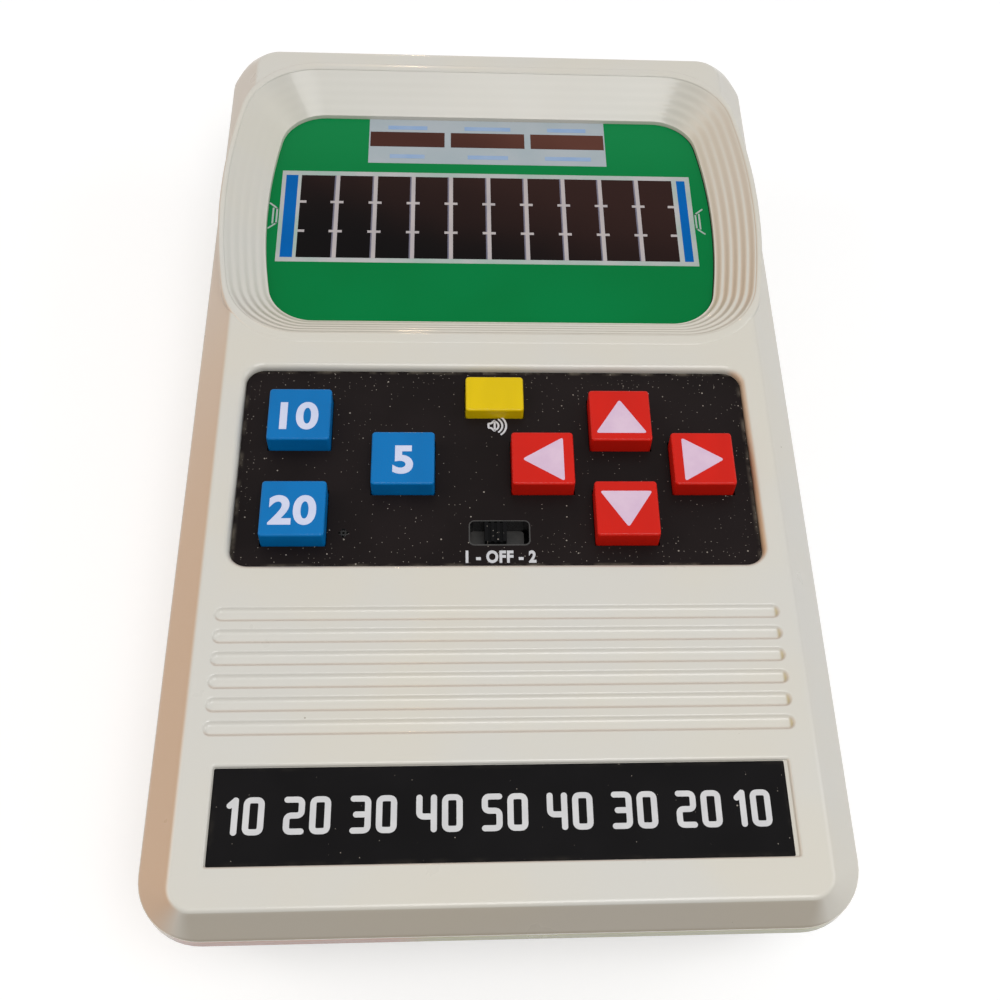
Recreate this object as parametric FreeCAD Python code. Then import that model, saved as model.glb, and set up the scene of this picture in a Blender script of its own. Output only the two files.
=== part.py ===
"""Handheld electronic game: a two-shell case with a stepped display bowl, a printed lens,
a key panel with eight keys and a slide switch, one circuit board and a battery bay.

Millimetres. X runs across the case, Y from the title plate up to the display, Z out of
the face. The origin is under the middle of the case, on the back that it lies on."""
import FreeCAD
import Part
import math
import os

V = FreeCAD.Vector

# Case, outside. The two shells meet at the joint line, where the case is widest.
CASE_W = 87.4
CASE_L = 150.2
CASE_TOP_R = 6.5
CASE_FOOT_R = 8.0
REAR_DEPTH = 25.25
FRONT_RISE = 4.75
FACE_SIDE_SLANT = 4.45
FACE_END_SLANT = 2.3
FACE_TOP_R = 3.8
FACE_FOOT_R = 2.9
FACE_EDGE_DROP = 0.6
REAR_BAND = 1.9
REAR_SIDE_SLANT = 2.7
REAR_END_SLANT = 6.9
REAR_CORNER_R = 7.0
REAR_EDGE_DROP = 1.4
WALL = 2.0
LIP_W = 0.9
LIP_H = 1.2
LIP_GAP = 0.15

# Display bowl: the rim at the face, the window at its foot and the steps between them.
RIM_SIDE_MARGIN = 1.8
RIM_TOP_MARGIN = 4.4
RIM_H = 56.6
RIM_SIDE_R = 110.0
RIM_CORNER_R = 11.5
RIM_RISE = 0.2
RIM_LIP_R = 0.4
RIM_CREST = 0.95
RIM_BAND = 1.9
RIM_BAND_ROLL = 1.3
RIM_FOOT_FLARE = 0.45
BOWL_SIDE_RUN = 5.8
BOWL_END_RUN = 6.0
BOWL_DEPTH = 4.75
BOWL_STEPS = 5
BOWL_WALL = 1.6
BOWL_FOOT_SHARE = 0.25
BOWL_FOOT_RISE = 0.6
BOWL_FOOT_DROP = 0.1
WINDOW_SIDE_R = 100.0
WINDOW_CORNER_R = 7.2
WINDOW_EDGE = 0.5
RISER_RUN = 0.32
RISER_RISE = 0.76

# Lens, filter and the frame that holds them under the bowl.
LENS_T = 1.6
LENS_LAND = 1.4
LENS_GAP = 0.15
FILTER_T = 1.0
LENS_FRAME_WALL = 1.4

# Key panel: a recess in the face with a thin plate in it.
PANEL_SIDE_MARGIN = 3.2
BOWL_TO_PANEL = 6.2
PANEL_H = 32.9
PANEL_CORNER_R = 2.6
PANEL_DEPTH = 1.14
PANEL_T = 0.8
PANEL_GAP = 0.1
PANEL_LIP_R = 0.9
PANEL_FLOOR_T = 1.6

# Keys.
KEY_SIZE = 8.55
KEY_CORNER_R = 0.6
KEY_EDGE = 0.4
KEY_RISE = 2.76
KEY_GAP = 0.2
KEY_TRAVEL = 1.2
KEY_FLANGE = 1.1
KEY_FLANGE_T = 1.2
KEY_FLANGE_GAP = 0.05
KEY_FLANGE_ROOM = 0.55
KEY_STEM_R = 1.9
KEY_STEM_L = 2.4
KEY_TOP_ROOM = 5.33
KEY_ROW_UP = 7.35
KEY_ROW_DOWN = 8.15
PAD_SIDE_ROOM = 2.97
BLUE_SIDE_ROOM = 3.97
BLUE_ROOM = 3.85
YELLOW_X = -0.35
YELLOW_TOP_ROOM = 2.38
YELLOW_W = 8.15
YELLOW_H = 5.85
YELLOW_RISE = 1.95

# Slide switch.
SLOT_FOOT_ROOM = 3.55
SLOT_H = 3.7
SLOT_END_GAP = 0.2
KNOB_W = 3.0
KNOB_H = 3.1
KNOB_X = -0.5
KNOB_RISE = 0.45
KNOB_LEFT_TRAVEL = 1.8
KNOB_RIGHT_TRAVEL = 2.9
KNOB_NECK = 2.2
KNOB_FOOT_W = 5.6
KNOB_FOOT_T = 1.2
KNOB_RIBS = 3
KNOB_RIB_PITCH = 0.8
KNOB_RIB_W = 0.4
KNOB_RIB_DEPTH = 0.35
SWITCH_H = 6.6
SWITCH_T = 4.6
SWITCH_WALL = 0.6
SWITCH_END_ROOM = 0.6
SWITCH_GAP = 0.1

# Flutes and title plate.
PANEL_TO_FLUTE = 6.5
FLUTE_TO_TITLE = 2.0
FLUTE_SIDE_MARGIN = 2.35
FLUTE_PITCH = 3.15
FLUTE_W = 2.05
FLUTE_DEPTH = 0.85
FLUTE_LIP = 0.35
TITLE_SIDE_MARGIN = 4.3
TITLE_END_MARGIN = 5.25
TITLE_H = 12.1
TITLE_T = 0.5
TITLE_DEPTH = 1.0
TITLE_GAP = 0.6
TITLE_CORNER_R = 0.5
TITLE_LIP_R = 0.6

# Board, its posts and screws.
BOARD_T = 1.6
BOARD_SIDE_ROOM = 5.2
BOARD_EDGE = 2.8
BOARD_ROOM = 0.4
BOARD_TO_PANEL = 1.0
BOARD_NOTCH_ROOM = 1.0
POST_R = 2.1
POST_EDGE = 2.3
POST_TO_PANEL = 3.0
POST_ROOM = 0.15
BOARD_SCREW_R = 1.0
BOARD_SCREW_HEAD_R = 2.0
BOARD_SCREW_HEAD_T = 1.2
BOARD_SCREW_BITE = 5.5
SCREW_GAP = 0.05
HOLE_ROOM = 0.5

# Key mat.
MAT_T = 0.8
MAT_MARGIN = 1.0
MAT_SIDE_MARGIN = 2.65
DOME_R = 3.4
DOME_TIP_R = 1.9
DOME_H = 1.26
DOME_GAP = 0.05

# Lights and digits on the board.
PRINT_X = -0.6
LED_COLUMNS = 10
LED_ROWS = 3
LED_W = 2.6
LED_H = 1.1
LED_ROOM = 0.65
FIELD_SIDE_MARGIN = 5.2
FIELD_DROP = 6.8
FIELD_ROW = 5.9
DIGITS = 3
DIGIT_W = 11.0
DIGIT_H = 6.5
DIGIT_ROOM = 0.35
DIGIT_LIFT = 15.7
DIGIT_PITCH = 13.8

# Chip, capacitors and resistors under the board.
CHIP_W = 36.0
CHIP_H = 13.6
CHIP_T = 3.8
CHIP_STANDOFF = 0.7
CHIP_DROP = 1.6
CHIP_PINS = 14
PIN_W = 0.5
PIN_PITCH = 2.54
CAPACITORS = 2
CAP_R = 3.2
CAP_L = 9.0
CAP_TO_CHIP = 2.8
CAP_FOOT_ROOM = 14.3
CAP_PITCH = 8.0
RESISTORS = 6
RESISTOR_R = 1.1
RESISTOR_L = 6.5
RESISTOR_STANDOFF = 0.4
RESISTOR_LEAD_W = 0.8
RESISTOR_TO_CHIP = 2.35
RESISTOR_FOOT_ROOM = 8.3
RESISTOR_PITCH = 4.0

# Case screws and their columns.
BOSS_SIDE_ROOM = 7.1
BOSS_END_ROOM = 11.4
BOSS_R = 2.75
COLUMN_R = 3.9
COLUMN_TO_BOARD = 0.5
HEAD_BORE_R = 2.75
SEAT_T = 9.0
SCREW_R = 1.35
SCREW_HEAD_R = 2.5
SCREW_HEAD_T = 1.6
SCREW_BITE = 4.5
CROSS_W = 0.5
CROSS_REACH = 0.6

# Speaker, its ring and the sound slots.
SPEAKER_TOP_ROOM = 39.1
SPEAKER_R = 18.0
SPEAKER_H = 9.0
SPEAKER_RIM_T = 1.5
SPEAKER_RIM_W = 1.8
SPEAKER_GAP = 0.2
MAGNET_R = 9.0
MAGNET_T = 4.0
RING_WALL = 1.4
RING_H = 3.5
SOUND_SLOTS = 7
SOUND_PITCH = 4.0
SOUND_SLOT_W = 1.7
SOUND_R = 13.5

# Battery bay and its sliding door.
BATTERY_L = 46.4
BATTERY_W = 26.2
BATTERY_T = 17.2
BATTERY_EDGE_R = 2.0
BATTERY_LIFT = 0.3
TERMINAL_R = 3.0
TERMINAL_L = 2.2
TERMINAL_PITCH = 12.7
CLIP_T = 3.0
CLIP_W = 11.0
CLIP_GAP = 0.15
CLIP_MARGIN = 1.0
BAY_END_ROOM = 1.2
BAY_GAP = 0.4
BAY_WALL = 1.5
DOOR_T = 1.8
DOOR_LIFT = 0.2
DOOR_GAP = 0.15
DOOR_ROOF = 0.2
DOOR_LAP = 0.3
DOOR_TONGUE = 1.1
DOOR_TONGUE_T = 0.9
GRIP_RIBS = 5
GRIP_PITCH = 1.8
GRIP_W = 0.8
GRIP_DEPTH = 0.5
GRIP_L = 16.0

# Share of a half width that rounds a slot's end, so that a straight side is left between.
ROUND_SHARE = 0.98

# Flat sides that small and inner round forms are drawn with: round a whole rod or speaker, and
# for each quarter of a corner. Then the overrun past a face for clean cuts, and the reach of
# one form into another that it is joined to.
ROD_SIDES = 12
SPEAKER_SIDES = 24
ROOM_SIDES = 3
RECESS_SIDES = 5
FLUTE_SIDES = 3
SLOT_SIDES = 2
KEY_SIDES = 1
OVER = 1.0
MERGE = 0.5

# Places and levels that follow from the sizes above.
CASE_HALF_W = CASE_W / 2.0
CASE_HALF_L = CASE_L / 2.0
FACE_HALF_W = CASE_HALF_W - FACE_SIDE_SLANT
FACE_HALF_L = CASE_HALF_L - FACE_END_SLANT
Z_JOINT = REAR_DEPTH
Z_FACE = Z_JOINT + FRONT_RISE
Z_FACE_IN = Z_FACE - WALL
Z_RIM = Z_FACE + RIM_RISE
Z_BAND = Z_JOINT - REAR_BAND

RIM_HALF_W = CASE_HALF_W - RIM_SIDE_MARGIN
RIM_HALF_H = RIM_H / 2.0
WINDOW_HALF_W = RIM_HALF_W - BOWL_SIDE_RUN
WINDOW_HALF_H = RIM_HALF_H - BOWL_END_RUN
BOWL_Y = FACE_HALF_L - RIM_TOP_MARGIN - RIM_HALF_H
Z_BOWL = Z_FACE - BOWL_DEPTH
Z_LENS = Z_BOWL - WINDOW_EDGE
Z_FILTER = Z_LENS - LENS_T
Z_FRAME = Z_FILTER - FILTER_T

PANEL_HALF_W = FACE_HALF_W - PANEL_SIDE_MARGIN
PANEL_TOP = BOWL_Y - RIM_HALF_H - BOWL_TO_PANEL
PANEL_BOTTOM = PANEL_TOP - PANEL_H
Z_PANEL = Z_FACE - PANEL_DEPTH
Z_PANEL_FLOOR = Z_PANEL - PANEL_T
Z_PANEL_UNDER = Z_PANEL_FLOOR - PANEL_FLOOR_T

PAD_REACH = KEY_SIZE + 2.0 * KEY_FLANGE + KEY_FLANGE_ROOM
PAD_X = PANEL_HALF_W - PAD_SIDE_ROOM - KEY_SIZE / 2.0 - PAD_REACH
BLUE_OUTER_X = -(PANEL_HALF_W - BLUE_SIDE_ROOM - KEY_SIZE / 2.0)
BLUE_INNER_X = BLUE_OUTER_X + KEY_SIZE + 2.0 * KEY_FLANGE + BLUE_ROOM
ROW_TOP = PANEL_TOP - KEY_TOP_ROOM - KEY_SIZE / 2.0
ROW_MID = ROW_TOP - KEY_ROW_UP
ROW_LOW = ROW_MID - KEY_ROW_DOWN
YELLOW_Y = PANEL_TOP - YELLOW_TOP_ROOM - YELLOW_H / 2.0
Z_FLANGE = Z_PANEL_UNDER - KEY_FLANGE_GAP
Z_STEM = Z_FLANGE - KEY_FLANGE_T - KEY_STEM_L
Z_DOME = Z_STEM - KEY_TRAVEL - DOME_GAP
Z_MAT = Z_DOME - DOME_H
Z_BOARD = Z_MAT - MAT_T
Z_BOARD_UNDER = Z_BOARD - BOARD_T

SLOT_Y = PANEL_BOTTOM + SLOT_FOOT_ROOM + SLOT_H / 2.0
SLOT_LEFT = KNOB_X - KNOB_W / 2.0 - KNOB_LEFT_TRAVEL - SLOT_END_GAP
SLOT_RIGHT = KNOB_X + KNOB_W / 2.0 + KNOB_RIGHT_TRAVEL + SLOT_END_GAP
SWITCH_LEFT = KNOB_X - KNOB_FOOT_W / 2.0 - KNOB_LEFT_TRAVEL - SWITCH_END_ROOM - SWITCH_WALL
SWITCH_RIGHT = KNOB_X + KNOB_FOOT_W / 2.0 + KNOB_RIGHT_TRAVEL + SWITCH_END_ROOM + SWITCH_WALL
Z_SWITCH = Z_BOARD + SWITCH_T

TITLE_HALF_W = FACE_HALF_W - TITLE_SIDE_MARGIN
TITLE_BOTTOM = -FACE_HALF_L + TITLE_END_MARGIN
TITLE_TOP = TITLE_BOTTOM + TITLE_H
FLUTE_HALF_L = FACE_HALF_W - FLUTE_SIDE_MARGIN
FLUTE_TOP = PANEL_BOTTOM - PANEL_TO_FLUTE
FLUTE_SPAN = FLUTE_TOP - (TITLE_TOP + TITLE_GAP + TITLE_LIP_R + FLUTE_TO_TITLE)
FLUTES = int((FLUTE_SPAN + FLUTE_PITCH - FLUTE_W) / FLUTE_PITCH)

BOARD_HALF_W = CASE_HALF_W - BOARD_SIDE_ROOM
BOARD_BOTTOM = PANEL_BOTTOM + BOARD_TO_PANEL
POST_X = BOARD_HALF_W - POST_EDGE
POST_LOW_Y = BOARD_BOTTOM + BOARD_EDGE
POST_MID_Y = PANEL_TOP + POST_TO_PANEL
POST_TOP_Y = BOWL_Y + WINDOW_HALF_H + LENS_LAND + LENS_GAP + POST_R + POST_ROOM
BOARD_TOP = POST_TOP_Y + BOARD_EDGE
FIELD_PITCH = 2.0 * (WINDOW_HALF_W - FIELD_SIDE_MARGIN) / LED_COLUMNS

BOSS_X = CASE_HALF_W - BOSS_SIDE_ROOM
BOSS_TOP_Y = CASE_HALF_L - BOSS_END_ROOM
BOSS_MID_Y = BOARD_BOTTOM - COLUMN_R - BOARD_ROOM
Z_COLUMN = Z_BOARD - COLUMN_TO_BOARD
Z_SEAT = Z_COLUMN - SEAT_T

DOOR_TOP = DOOR_LIFT + DOOR_T
REAR_FLOOR = DOOR_TOP + DOOR_GAP + DOOR_ROOF
BATTERY_Z = DOOR_TOP + BATTERY_LIFT
BAY_TOP = BATTERY_Z + BATTERY_T + BAY_GAP
BAY_HALF_L = BATTERY_L / 2.0 + TERMINAL_L + CLIP_T
BAY_HALF_W = BATTERY_W / 2.0 + BAY_GAP
BAY_Y = -(CASE_HALF_L - REAR_END_SLANT - WALL - BAY_END_ROOM - BAY_WALL - BAY_HALF_W)
BATTERY_END = -BAY_HALF_L + BAY_GAP + BATTERY_L
DOOR_HALF_W = BAY_HALF_L + DOOR_LAP
DOOR_NEAR_Y = BAY_Y + BAY_HALF_W
SPEAKER_Y = CASE_HALF_L - SPEAKER_TOP_ROOM

KEYS = {
    "key_blue_top": (BLUE_OUTER_X, ROW_TOP),
    "key_blue_middle": (BLUE_INNER_X, ROW_MID),
    "key_blue_bottom": (BLUE_OUTER_X, ROW_LOW),
    "key_up": (PAD_X, ROW_TOP),
    "key_left": (PAD_X - PAD_REACH, ROW_MID),
    "key_right": (PAD_X + PAD_REACH, ROW_MID),
    "key_down": (PAD_X, ROW_LOW),
}
KEY_PLACES = list(KEYS.values()) + [(YELLOW_X, YELLOW_Y)]
BOSS_PLACES = [(s * BOSS_X, y) for s in (-1, 1) for y in (-BOSS_TOP_Y, BOSS_MID_Y, BOSS_TOP_Y)]
POST_PLACES = [(s * POST_X, y) for s in (-1, 1) for y in (POST_LOW_Y, POST_MID_Y)]
POST_PLACES.append((0.0, POST_TOP_Y))


def box(x0, x1, y0, y1, z0, z1):
    """A block between two corners."""
    return Part.makeBox(x1 - x0, y1 - y0, z1 - z0, V(x0, y0, z0))


def flat(corners):
    """A flat face with these corners."""
    return Part.Face(Part.makePolygon(corners + corners[:1]))


def planed(rings):
    """A solid through rings of corners whose sides run parallel, with flat faces between them."""
    faces = [flat(rings[0]), flat(rings[-1])]
    for low, high in zip(rings, rings[1:]):
        for i in range(len(low)):
            faces.append(flat([low[i - 1], low[i], high[i], high[i - 1]]))
    return Part.Solid(Part.Shell(faces))


def regular(x, y, z, radius, sides=ROD_SIDES):
    """Corners of a level polygon, on a circle."""
    corners = []
    for i in range(sides):
        a = 2.0 * math.pi * i / sides
        corners.append(V(x + radius * math.cos(a), y + radius * math.sin(a), z))
    return corners


def rod(x, y, z0, z1, radius):
    """An upright rod."""
    return flat(regular(x, y, z0, radius)).extrude(V(0, 0, z1 - z0))


def rod_across(x0, x1, y, z, radius):
    """A rod that runs along X."""
    corners = [V(x0, y + p.x, z + p.y) for p in regular(0.0, 0.0, 0.0, radius)]
    return flat(corners).extrude(V(x1 - x0, 0, 0))


def fuse_all(first, others):
    """One solid of several that touch or overlap."""
    return first.fuse(others).removeSplitter()


def corner_arc(cx, cy, z, radius, start, end):
    """A circular arc about (cx, cy), between two angles in degrees."""
    points = []
    for angle in (start, (start + end) / 2.0, end):
        a = math.radians(angle)
        points.append(V(cx + radius * math.cos(a), cy + radius * math.sin(a), z))
    return Part.Arc(*points).toShape()


def joined(edges):
    """A closed wire through arcs in order, with straight edges in the gaps."""
    chain = []
    for this, following in zip(edges, edges[1:] + edges[:1]):
        chain.append(this)
        a = this.Vertexes[-1].Point
        b = following.Vertexes[0].Point
        if a.distanceToPoint(b) > 1e-6:
            chain.append(Part.LineSegment(a, b).toShape())
    return Part.Wire(chain)


def rounded(x0, x1, y0, y1, foot_r, top_r, z):
    """A rectangle with round corners: one radius at the foot, one at the top."""
    edges = [
        corner_arc(x1 - top_r, y1 - top_r, z, top_r, 0, 90),
        corner_arc(x0 + top_r, y1 - top_r, z, top_r, 90, 180),
        corner_arc(x0 + foot_r, y0 + foot_r, z, foot_r, 180, 270),
        corner_arc(x1 - foot_r, y0 + foot_r, z, foot_r, 270, 360),
    ]
    return joined(edges)


def faceted(x0, x1, y0, y1, foot_r, top_r, sides, z):
    """Corners of a rectangle whose round corners are drawn with a few flat sides each."""
    corners = []
    rounds = ((x1 - top_r, y1 - top_r, top_r), (x0 + top_r, y1 - top_r, top_r),
              (x0 + foot_r, y0 + foot_r, foot_r), (x1 - foot_r, y0 + foot_r, foot_r))
    for quarter, (cx, cy, radius) in enumerate(rounds):
        for i in range(sides + 1):
            a = math.pi / 2.0 * (quarter + i / sides)
            corners.append(V(cx + radius * math.cos(a), cy + radius * math.sin(a), z))
    return corners


def bowed(half_w, half_h, side_r, corner_r, z):
    """The display outline: straight top and foot, bowed sides, round corners."""
    side_x = half_w - side_r
    reach = side_r - corner_r
    cy = half_h - corner_r
    cx = side_x + math.sqrt(reach * reach - cy * cy)
    turn = math.degrees(math.atan2(cy, cx - side_x))
    edges = [
        corner_arc(side_x, BOWL_Y, z, side_r, -turn, turn),
        corner_arc(cx, BOWL_Y + cy, z, corner_r, turn, 90),
        corner_arc(-cx, BOWL_Y + cy, z, corner_r, 90, 180 - turn),
        corner_arc(-side_x, BOWL_Y, z, side_r, 180 - turn, 180 + turn),
        corner_arc(-cx, BOWL_Y - cy, z, corner_r, 180 + turn, 270),
        corner_arc(cx, BOWL_Y - cy, z, corner_r, 270, 360 - turn),
    ]
    return joined(edges)


def bowl_outline(t, grow, z):
    """The bowl's outline between the window (t = 0) and the rim (t = 1), grown outward."""
    return bowed(
        WINDOW_HALF_W + t * BOWL_SIDE_RUN + grow,
        WINDOW_HALF_H + t * BOWL_END_RUN + grow,
        WINDOW_SIDE_R + t * (RIM_SIDE_R - WINDOW_SIDE_R) + grow,
        WINDOW_CORNER_R + t * (RIM_CORNER_R - WINDOW_CORNER_R) + grow,
        z,
    )


def prism(wire, height):
    """A straight solid on a closed wire."""
    return Part.Face(wire).extrude(V(0, 0, height))


def skin(wires):
    """A solid through wires with the same number of edges, ruled from one to the next."""
    return Part.makeLoft(wires, True, True)


def round_over(radius, steps=2):
    """Pairs of inset and drop along a quarter round, from its side up to its top edge."""
    pairs = []
    for i in range(steps + 1):
        a = math.radians(90.0 * (1.0 - i / steps))
        pairs.append((radius * (1.0 - math.sin(a)), radius * (1.0 - math.cos(a))))
    return pairs


def turned_edge(slants, rise, drop, steps=3):
    """Insets and drop along a rounded edge, from the wall onto the flat: a curve drawn to the
    sharp corner and away from it, for walls that lean in by each slant over the same rise."""
    rows = []
    for i in range(steps + 1):
        t = i / steps
        insets = []
        for slant in slants:
            wall = slant * (1.0 - drop / rise)
            flat = slant + math.hypot(slant / rise, 1.0) * drop
            insets.append((1.0 - t) ** 2 * wall + 2.0 * t * (1.0 - t) * slant + t * t * flat)
        rows.append((insets, (1.0 - t) ** 2 * drop))
    return rows


def case_outline(inset_w, inset_l, foot_r, top_r, z):
    """The case's outline at one height, drawn in from its widest."""
    half_w = CASE_HALF_W - inset_w
    half_l = CASE_HALF_L - inset_l
    return rounded(-half_w, half_w, -half_l, half_l, foot_r, top_r, z)


def room_outline(inset_w, inset_l, foot_r, top_r, z):
    """Corners of the outline of the room inside the case at one height."""
    half_w = CASE_HALF_W - inset_w
    half_l = CASE_HALF_L - inset_l
    return faceted(-half_w, half_w, -half_l, half_l, foot_r, top_r, ROOM_SIDES, z)


def joint_room(inset, z):
    """Corners of the outline at the joint line, drawn in by the same amount all round."""
    return room_outline(inset, inset, CASE_FOOT_R - inset, CASE_TOP_R - inset, z)


def front_inner(z):
    """The front shell's inside outline at one height, a wall inside its slanted sides."""
    rise = (z - Z_JOINT) / FRONT_RISE
    side = FACE_SIDE_SLANT * rise + WALL * math.hypot(1.0, FACE_SIDE_SLANT / FRONT_RISE)
    end = FACE_END_SLANT * rise + WALL * math.hypot(1.0, FACE_END_SLANT / FRONT_RISE)
    foot_r = CASE_FOOT_R - WALL + (FACE_FOOT_R - CASE_FOOT_R) * rise
    top_r = CASE_TOP_R - WALL + (FACE_TOP_R - CASE_TOP_R) * rise
    return room_outline(side, end, foot_r, top_r, z)


def recess(half_w, y0, y1, radius, z_floor, lip):
    """A cutter with an upright wall and a rounded lip at the face."""
    rings = []
    levels = [(0.0, z_floor)] + [(grow, Z_FACE - drop) for grow, drop in round_over(lip)]
    for grow, z in levels + [(lip, Z_FACE + OVER)]:
        r = radius + grow
        rings.append(faceted(-half_w - grow, half_w + grow, y0 - grow, y1 + grow, r, r, RECESS_SIDES, z))
    return planed(rings)


def rim_outline(side, end, z):
    """The rim's outside, a distance out from the bowl's edge at the sides and at the ends."""
    return bowed(RIM_HALF_W + side, RIM_HALF_H + end, RIM_SIDE_R + side, RIM_CORNER_R + side, z)


def front_body():
    """The front shell's outside: slanted sides, and the bowl's rim bulging over them."""
    wires = [case_outline(0.0, 0.0, CASE_FOOT_R, CASE_TOP_R, Z_JOINT)]
    for (side, end), drop in turned_edge((FACE_SIDE_SLANT, FACE_END_SLANT), FRONT_RISE, FACE_EDGE_DROP):
        share = drop / FRONT_RISE
        inward = end - FACE_END_SLANT * (1.0 - share)
        foot_r = FACE_FOOT_R + (CASE_FOOT_R - FACE_FOOT_R) * share - inward
        top_r = FACE_TOP_R + (CASE_TOP_R - FACE_TOP_R) * share - inward
        wires.append(case_outline(side, end, foot_r, top_r, Z_FACE - drop))
    rim = [rim_outline(RIM_CREST + RIM_FOOT_FLARE, RIM_BAND, Z_JOINT)]
    for inset, drop in round_over(RIM_LIP_R):
        roll = inset / RIM_LIP_R * RIM_BAND_ROLL
        rim.append(rim_outline(RIM_CREST - inset, RIM_BAND - roll, Z_RIM - drop))
    return skin(wires).fuse(skin(rim)).removeSplitter()


def bowl_profile():
    """Pairs of place and height from the window out to the rim: sloping treads and risers."""
    rise = (Z_RIM - RIM_LIP_R - Z_BOWL) / BOWL_STEPS
    pairs = [(0.0, 0.0)]
    for i in range(BOWL_STEPS):
        for side in (-0.5, 0.5):
            pairs.append(((i + 0.5 + side * RISER_RUN) / BOWL_STEPS, (i + 0.5 + side * RISER_RISE) * rise))
    pairs.append((1.0, rise * BOWL_STEPS))
    return pairs


def bowl_cutter():
    """The air in the bowl: window, steps and rounded lip."""
    wires = [bowl_outline(0.0, 0.0, Z_LENS - OVER)]
    for t, lift in bowl_profile():
        wires.append(bowl_outline(t, 0.0, Z_BOWL + lift))
    for grow, drop in round_over(RIM_LIP_R)[1:]:
        wires.append(bowl_outline(1.0, grow, Z_RIM - drop))
    wires.append(bowl_outline(1.0, RIM_LIP_R, Z_RIM + OVER))
    return skin(wires)


def bowl_shell(body):
    """The wall round the bowl, and the frame under it that takes lens and filter."""
    frame_top = Z_BOWL + BOWL_FOOT_RISE
    shell = skin([
        bowl_outline(0.0, BOWL_WALL, Z_BOWL - BOWL_FOOT_DROP),
        bowl_outline(BOWL_FOOT_SHARE, BOWL_WALL, frame_top),
        bowl_outline(1.0, BOWL_WALL, Z_FACE),
    ])
    frame = prism(bowl_outline(0.0, LENS_LAND + LENS_FRAME_WALL, Z_FRAME), frame_top - Z_FRAME)
    return [shell.common(body), frame]


def key_opening(x, y, size_x, size_y, z0, z1):
    """A cutter round a key with a gap all round."""
    half_x = size_x / 2.0 + KEY_GAP
    half_y = size_y / 2.0 + KEY_GAP
    return box(x - half_x, x + half_x, y - half_y, y + half_y, z0, z1)


def panel_openings(z0, z1):
    """Cutters for the eight keys and the switch slot."""
    cutters = []
    for x, y in KEYS.values():
        cutters.append(key_opening(x, y, KEY_SIZE, KEY_SIZE, z0, z1))
    cutters.append(key_opening(YELLOW_X, YELLOW_Y, YELLOW_W, YELLOW_H, z0, z1))
    cutters.append(box(SLOT_LEFT, SLOT_RIGHT, SLOT_Y - SLOT_H / 2.0, SLOT_Y + SLOT_H / 2.0, z0, z1))
    return cutters


def flute(top_y):
    """One long flute with round ends, wider at the face than at its floor."""
    y = top_y - FLUTE_W / 2.0
    rings = []
    for grow, z in ((-FLUTE_LIP, Z_FACE - FLUTE_DEPTH), (-FLUTE_LIP / 2.0, Z_FACE - FLUTE_LIP),
                    (0.0, Z_FACE), (0.0, Z_FACE + OVER)):
        half_w = FLUTE_W / 2.0 + grow
        half_l = FLUTE_HALF_L + grow
        r = half_w * ROUND_SHARE
        rings.append(faceted(-half_l, half_l, y - half_w, y + half_w, r, r, FLUTE_SIDES, z))
    return planed(rings)


def front_case():
    """The front shell."""
    body = front_body()
    shell = body.cut(planed([front_inner(Z_JOINT - OVER), front_inner(Z_FACE_IN)]))
    floor = box(-PANEL_HALF_W - WALL, PANEL_HALF_W + WALL, PANEL_BOTTOM - WALL, PANEL_TOP + WALL,
                Z_PANEL_UNDER, Z_FACE_IN + MERGE)
    lip = planed([joint_room(WALL + LIP_GAP, Z_JOINT - LIP_H), joint_room(WALL + LIP_GAP, Z_JOINT + OVER)])
    inner = WALL + LIP_GAP + LIP_W
    lip = lip.cut(planed([joint_room(inner, Z_JOINT - LIP_H), joint_room(inner, Z_JOINT + OVER)]))
    extras = bowl_shell(body) + [floor, lip]
    for x, y in BOSS_PLACES:
        extras.append(rod(x, y, Z_COLUMN, Z_FACE_IN + MERGE, BOSS_R))
    for x, y in POST_PLACES:
        extras.append(rod(x, y, Z_BOARD, Z_FACE_IN + MERGE, POST_R))
    shell = fuse_all(shell, extras)
    cuts = [bowl_cutter()]
    seat = bowl_outline(0.0, LENS_LAND + LENS_GAP, Z_FRAME - OVER)
    cuts.append(prism(seat, Z_LENS - Z_FRAME + OVER))
    cuts.append(recess(PANEL_HALF_W, PANEL_BOTTOM, PANEL_TOP, PANEL_CORNER_R, Z_PANEL_FLOOR,
                       PANEL_LIP_R))
    cuts += panel_openings(Z_PANEL_UNDER - OVER, Z_PANEL_FLOOR + MERGE)
    cuts.append(recess(TITLE_HALF_W + TITLE_GAP, TITLE_BOTTOM - TITLE_GAP, TITLE_TOP + TITLE_GAP,
                       TITLE_CORNER_R + TITLE_GAP, Z_FACE - TITLE_DEPTH, TITLE_LIP_R))
    for i in range(FLUTES):
        cuts.append(flute(FLUTE_TOP - i * FLUTE_PITCH))
    for x, y in BOSS_PLACES:
        cuts.append(rod(x, y, Z_COLUMN - OVER, Z_COLUMN + SCREW_BITE + HOLE_ROOM,
                        SCREW_R + SCREW_GAP))
    for x, y in POST_PLACES:
        cuts.append(rod(x, y, Z_BOARD - OVER, Z_BOARD + BOARD_SCREW_BITE + HOLE_ROOM,
                        BOARD_SCREW_R + SCREW_GAP))
    return shell.cut(cuts).removeSplitter()


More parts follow.
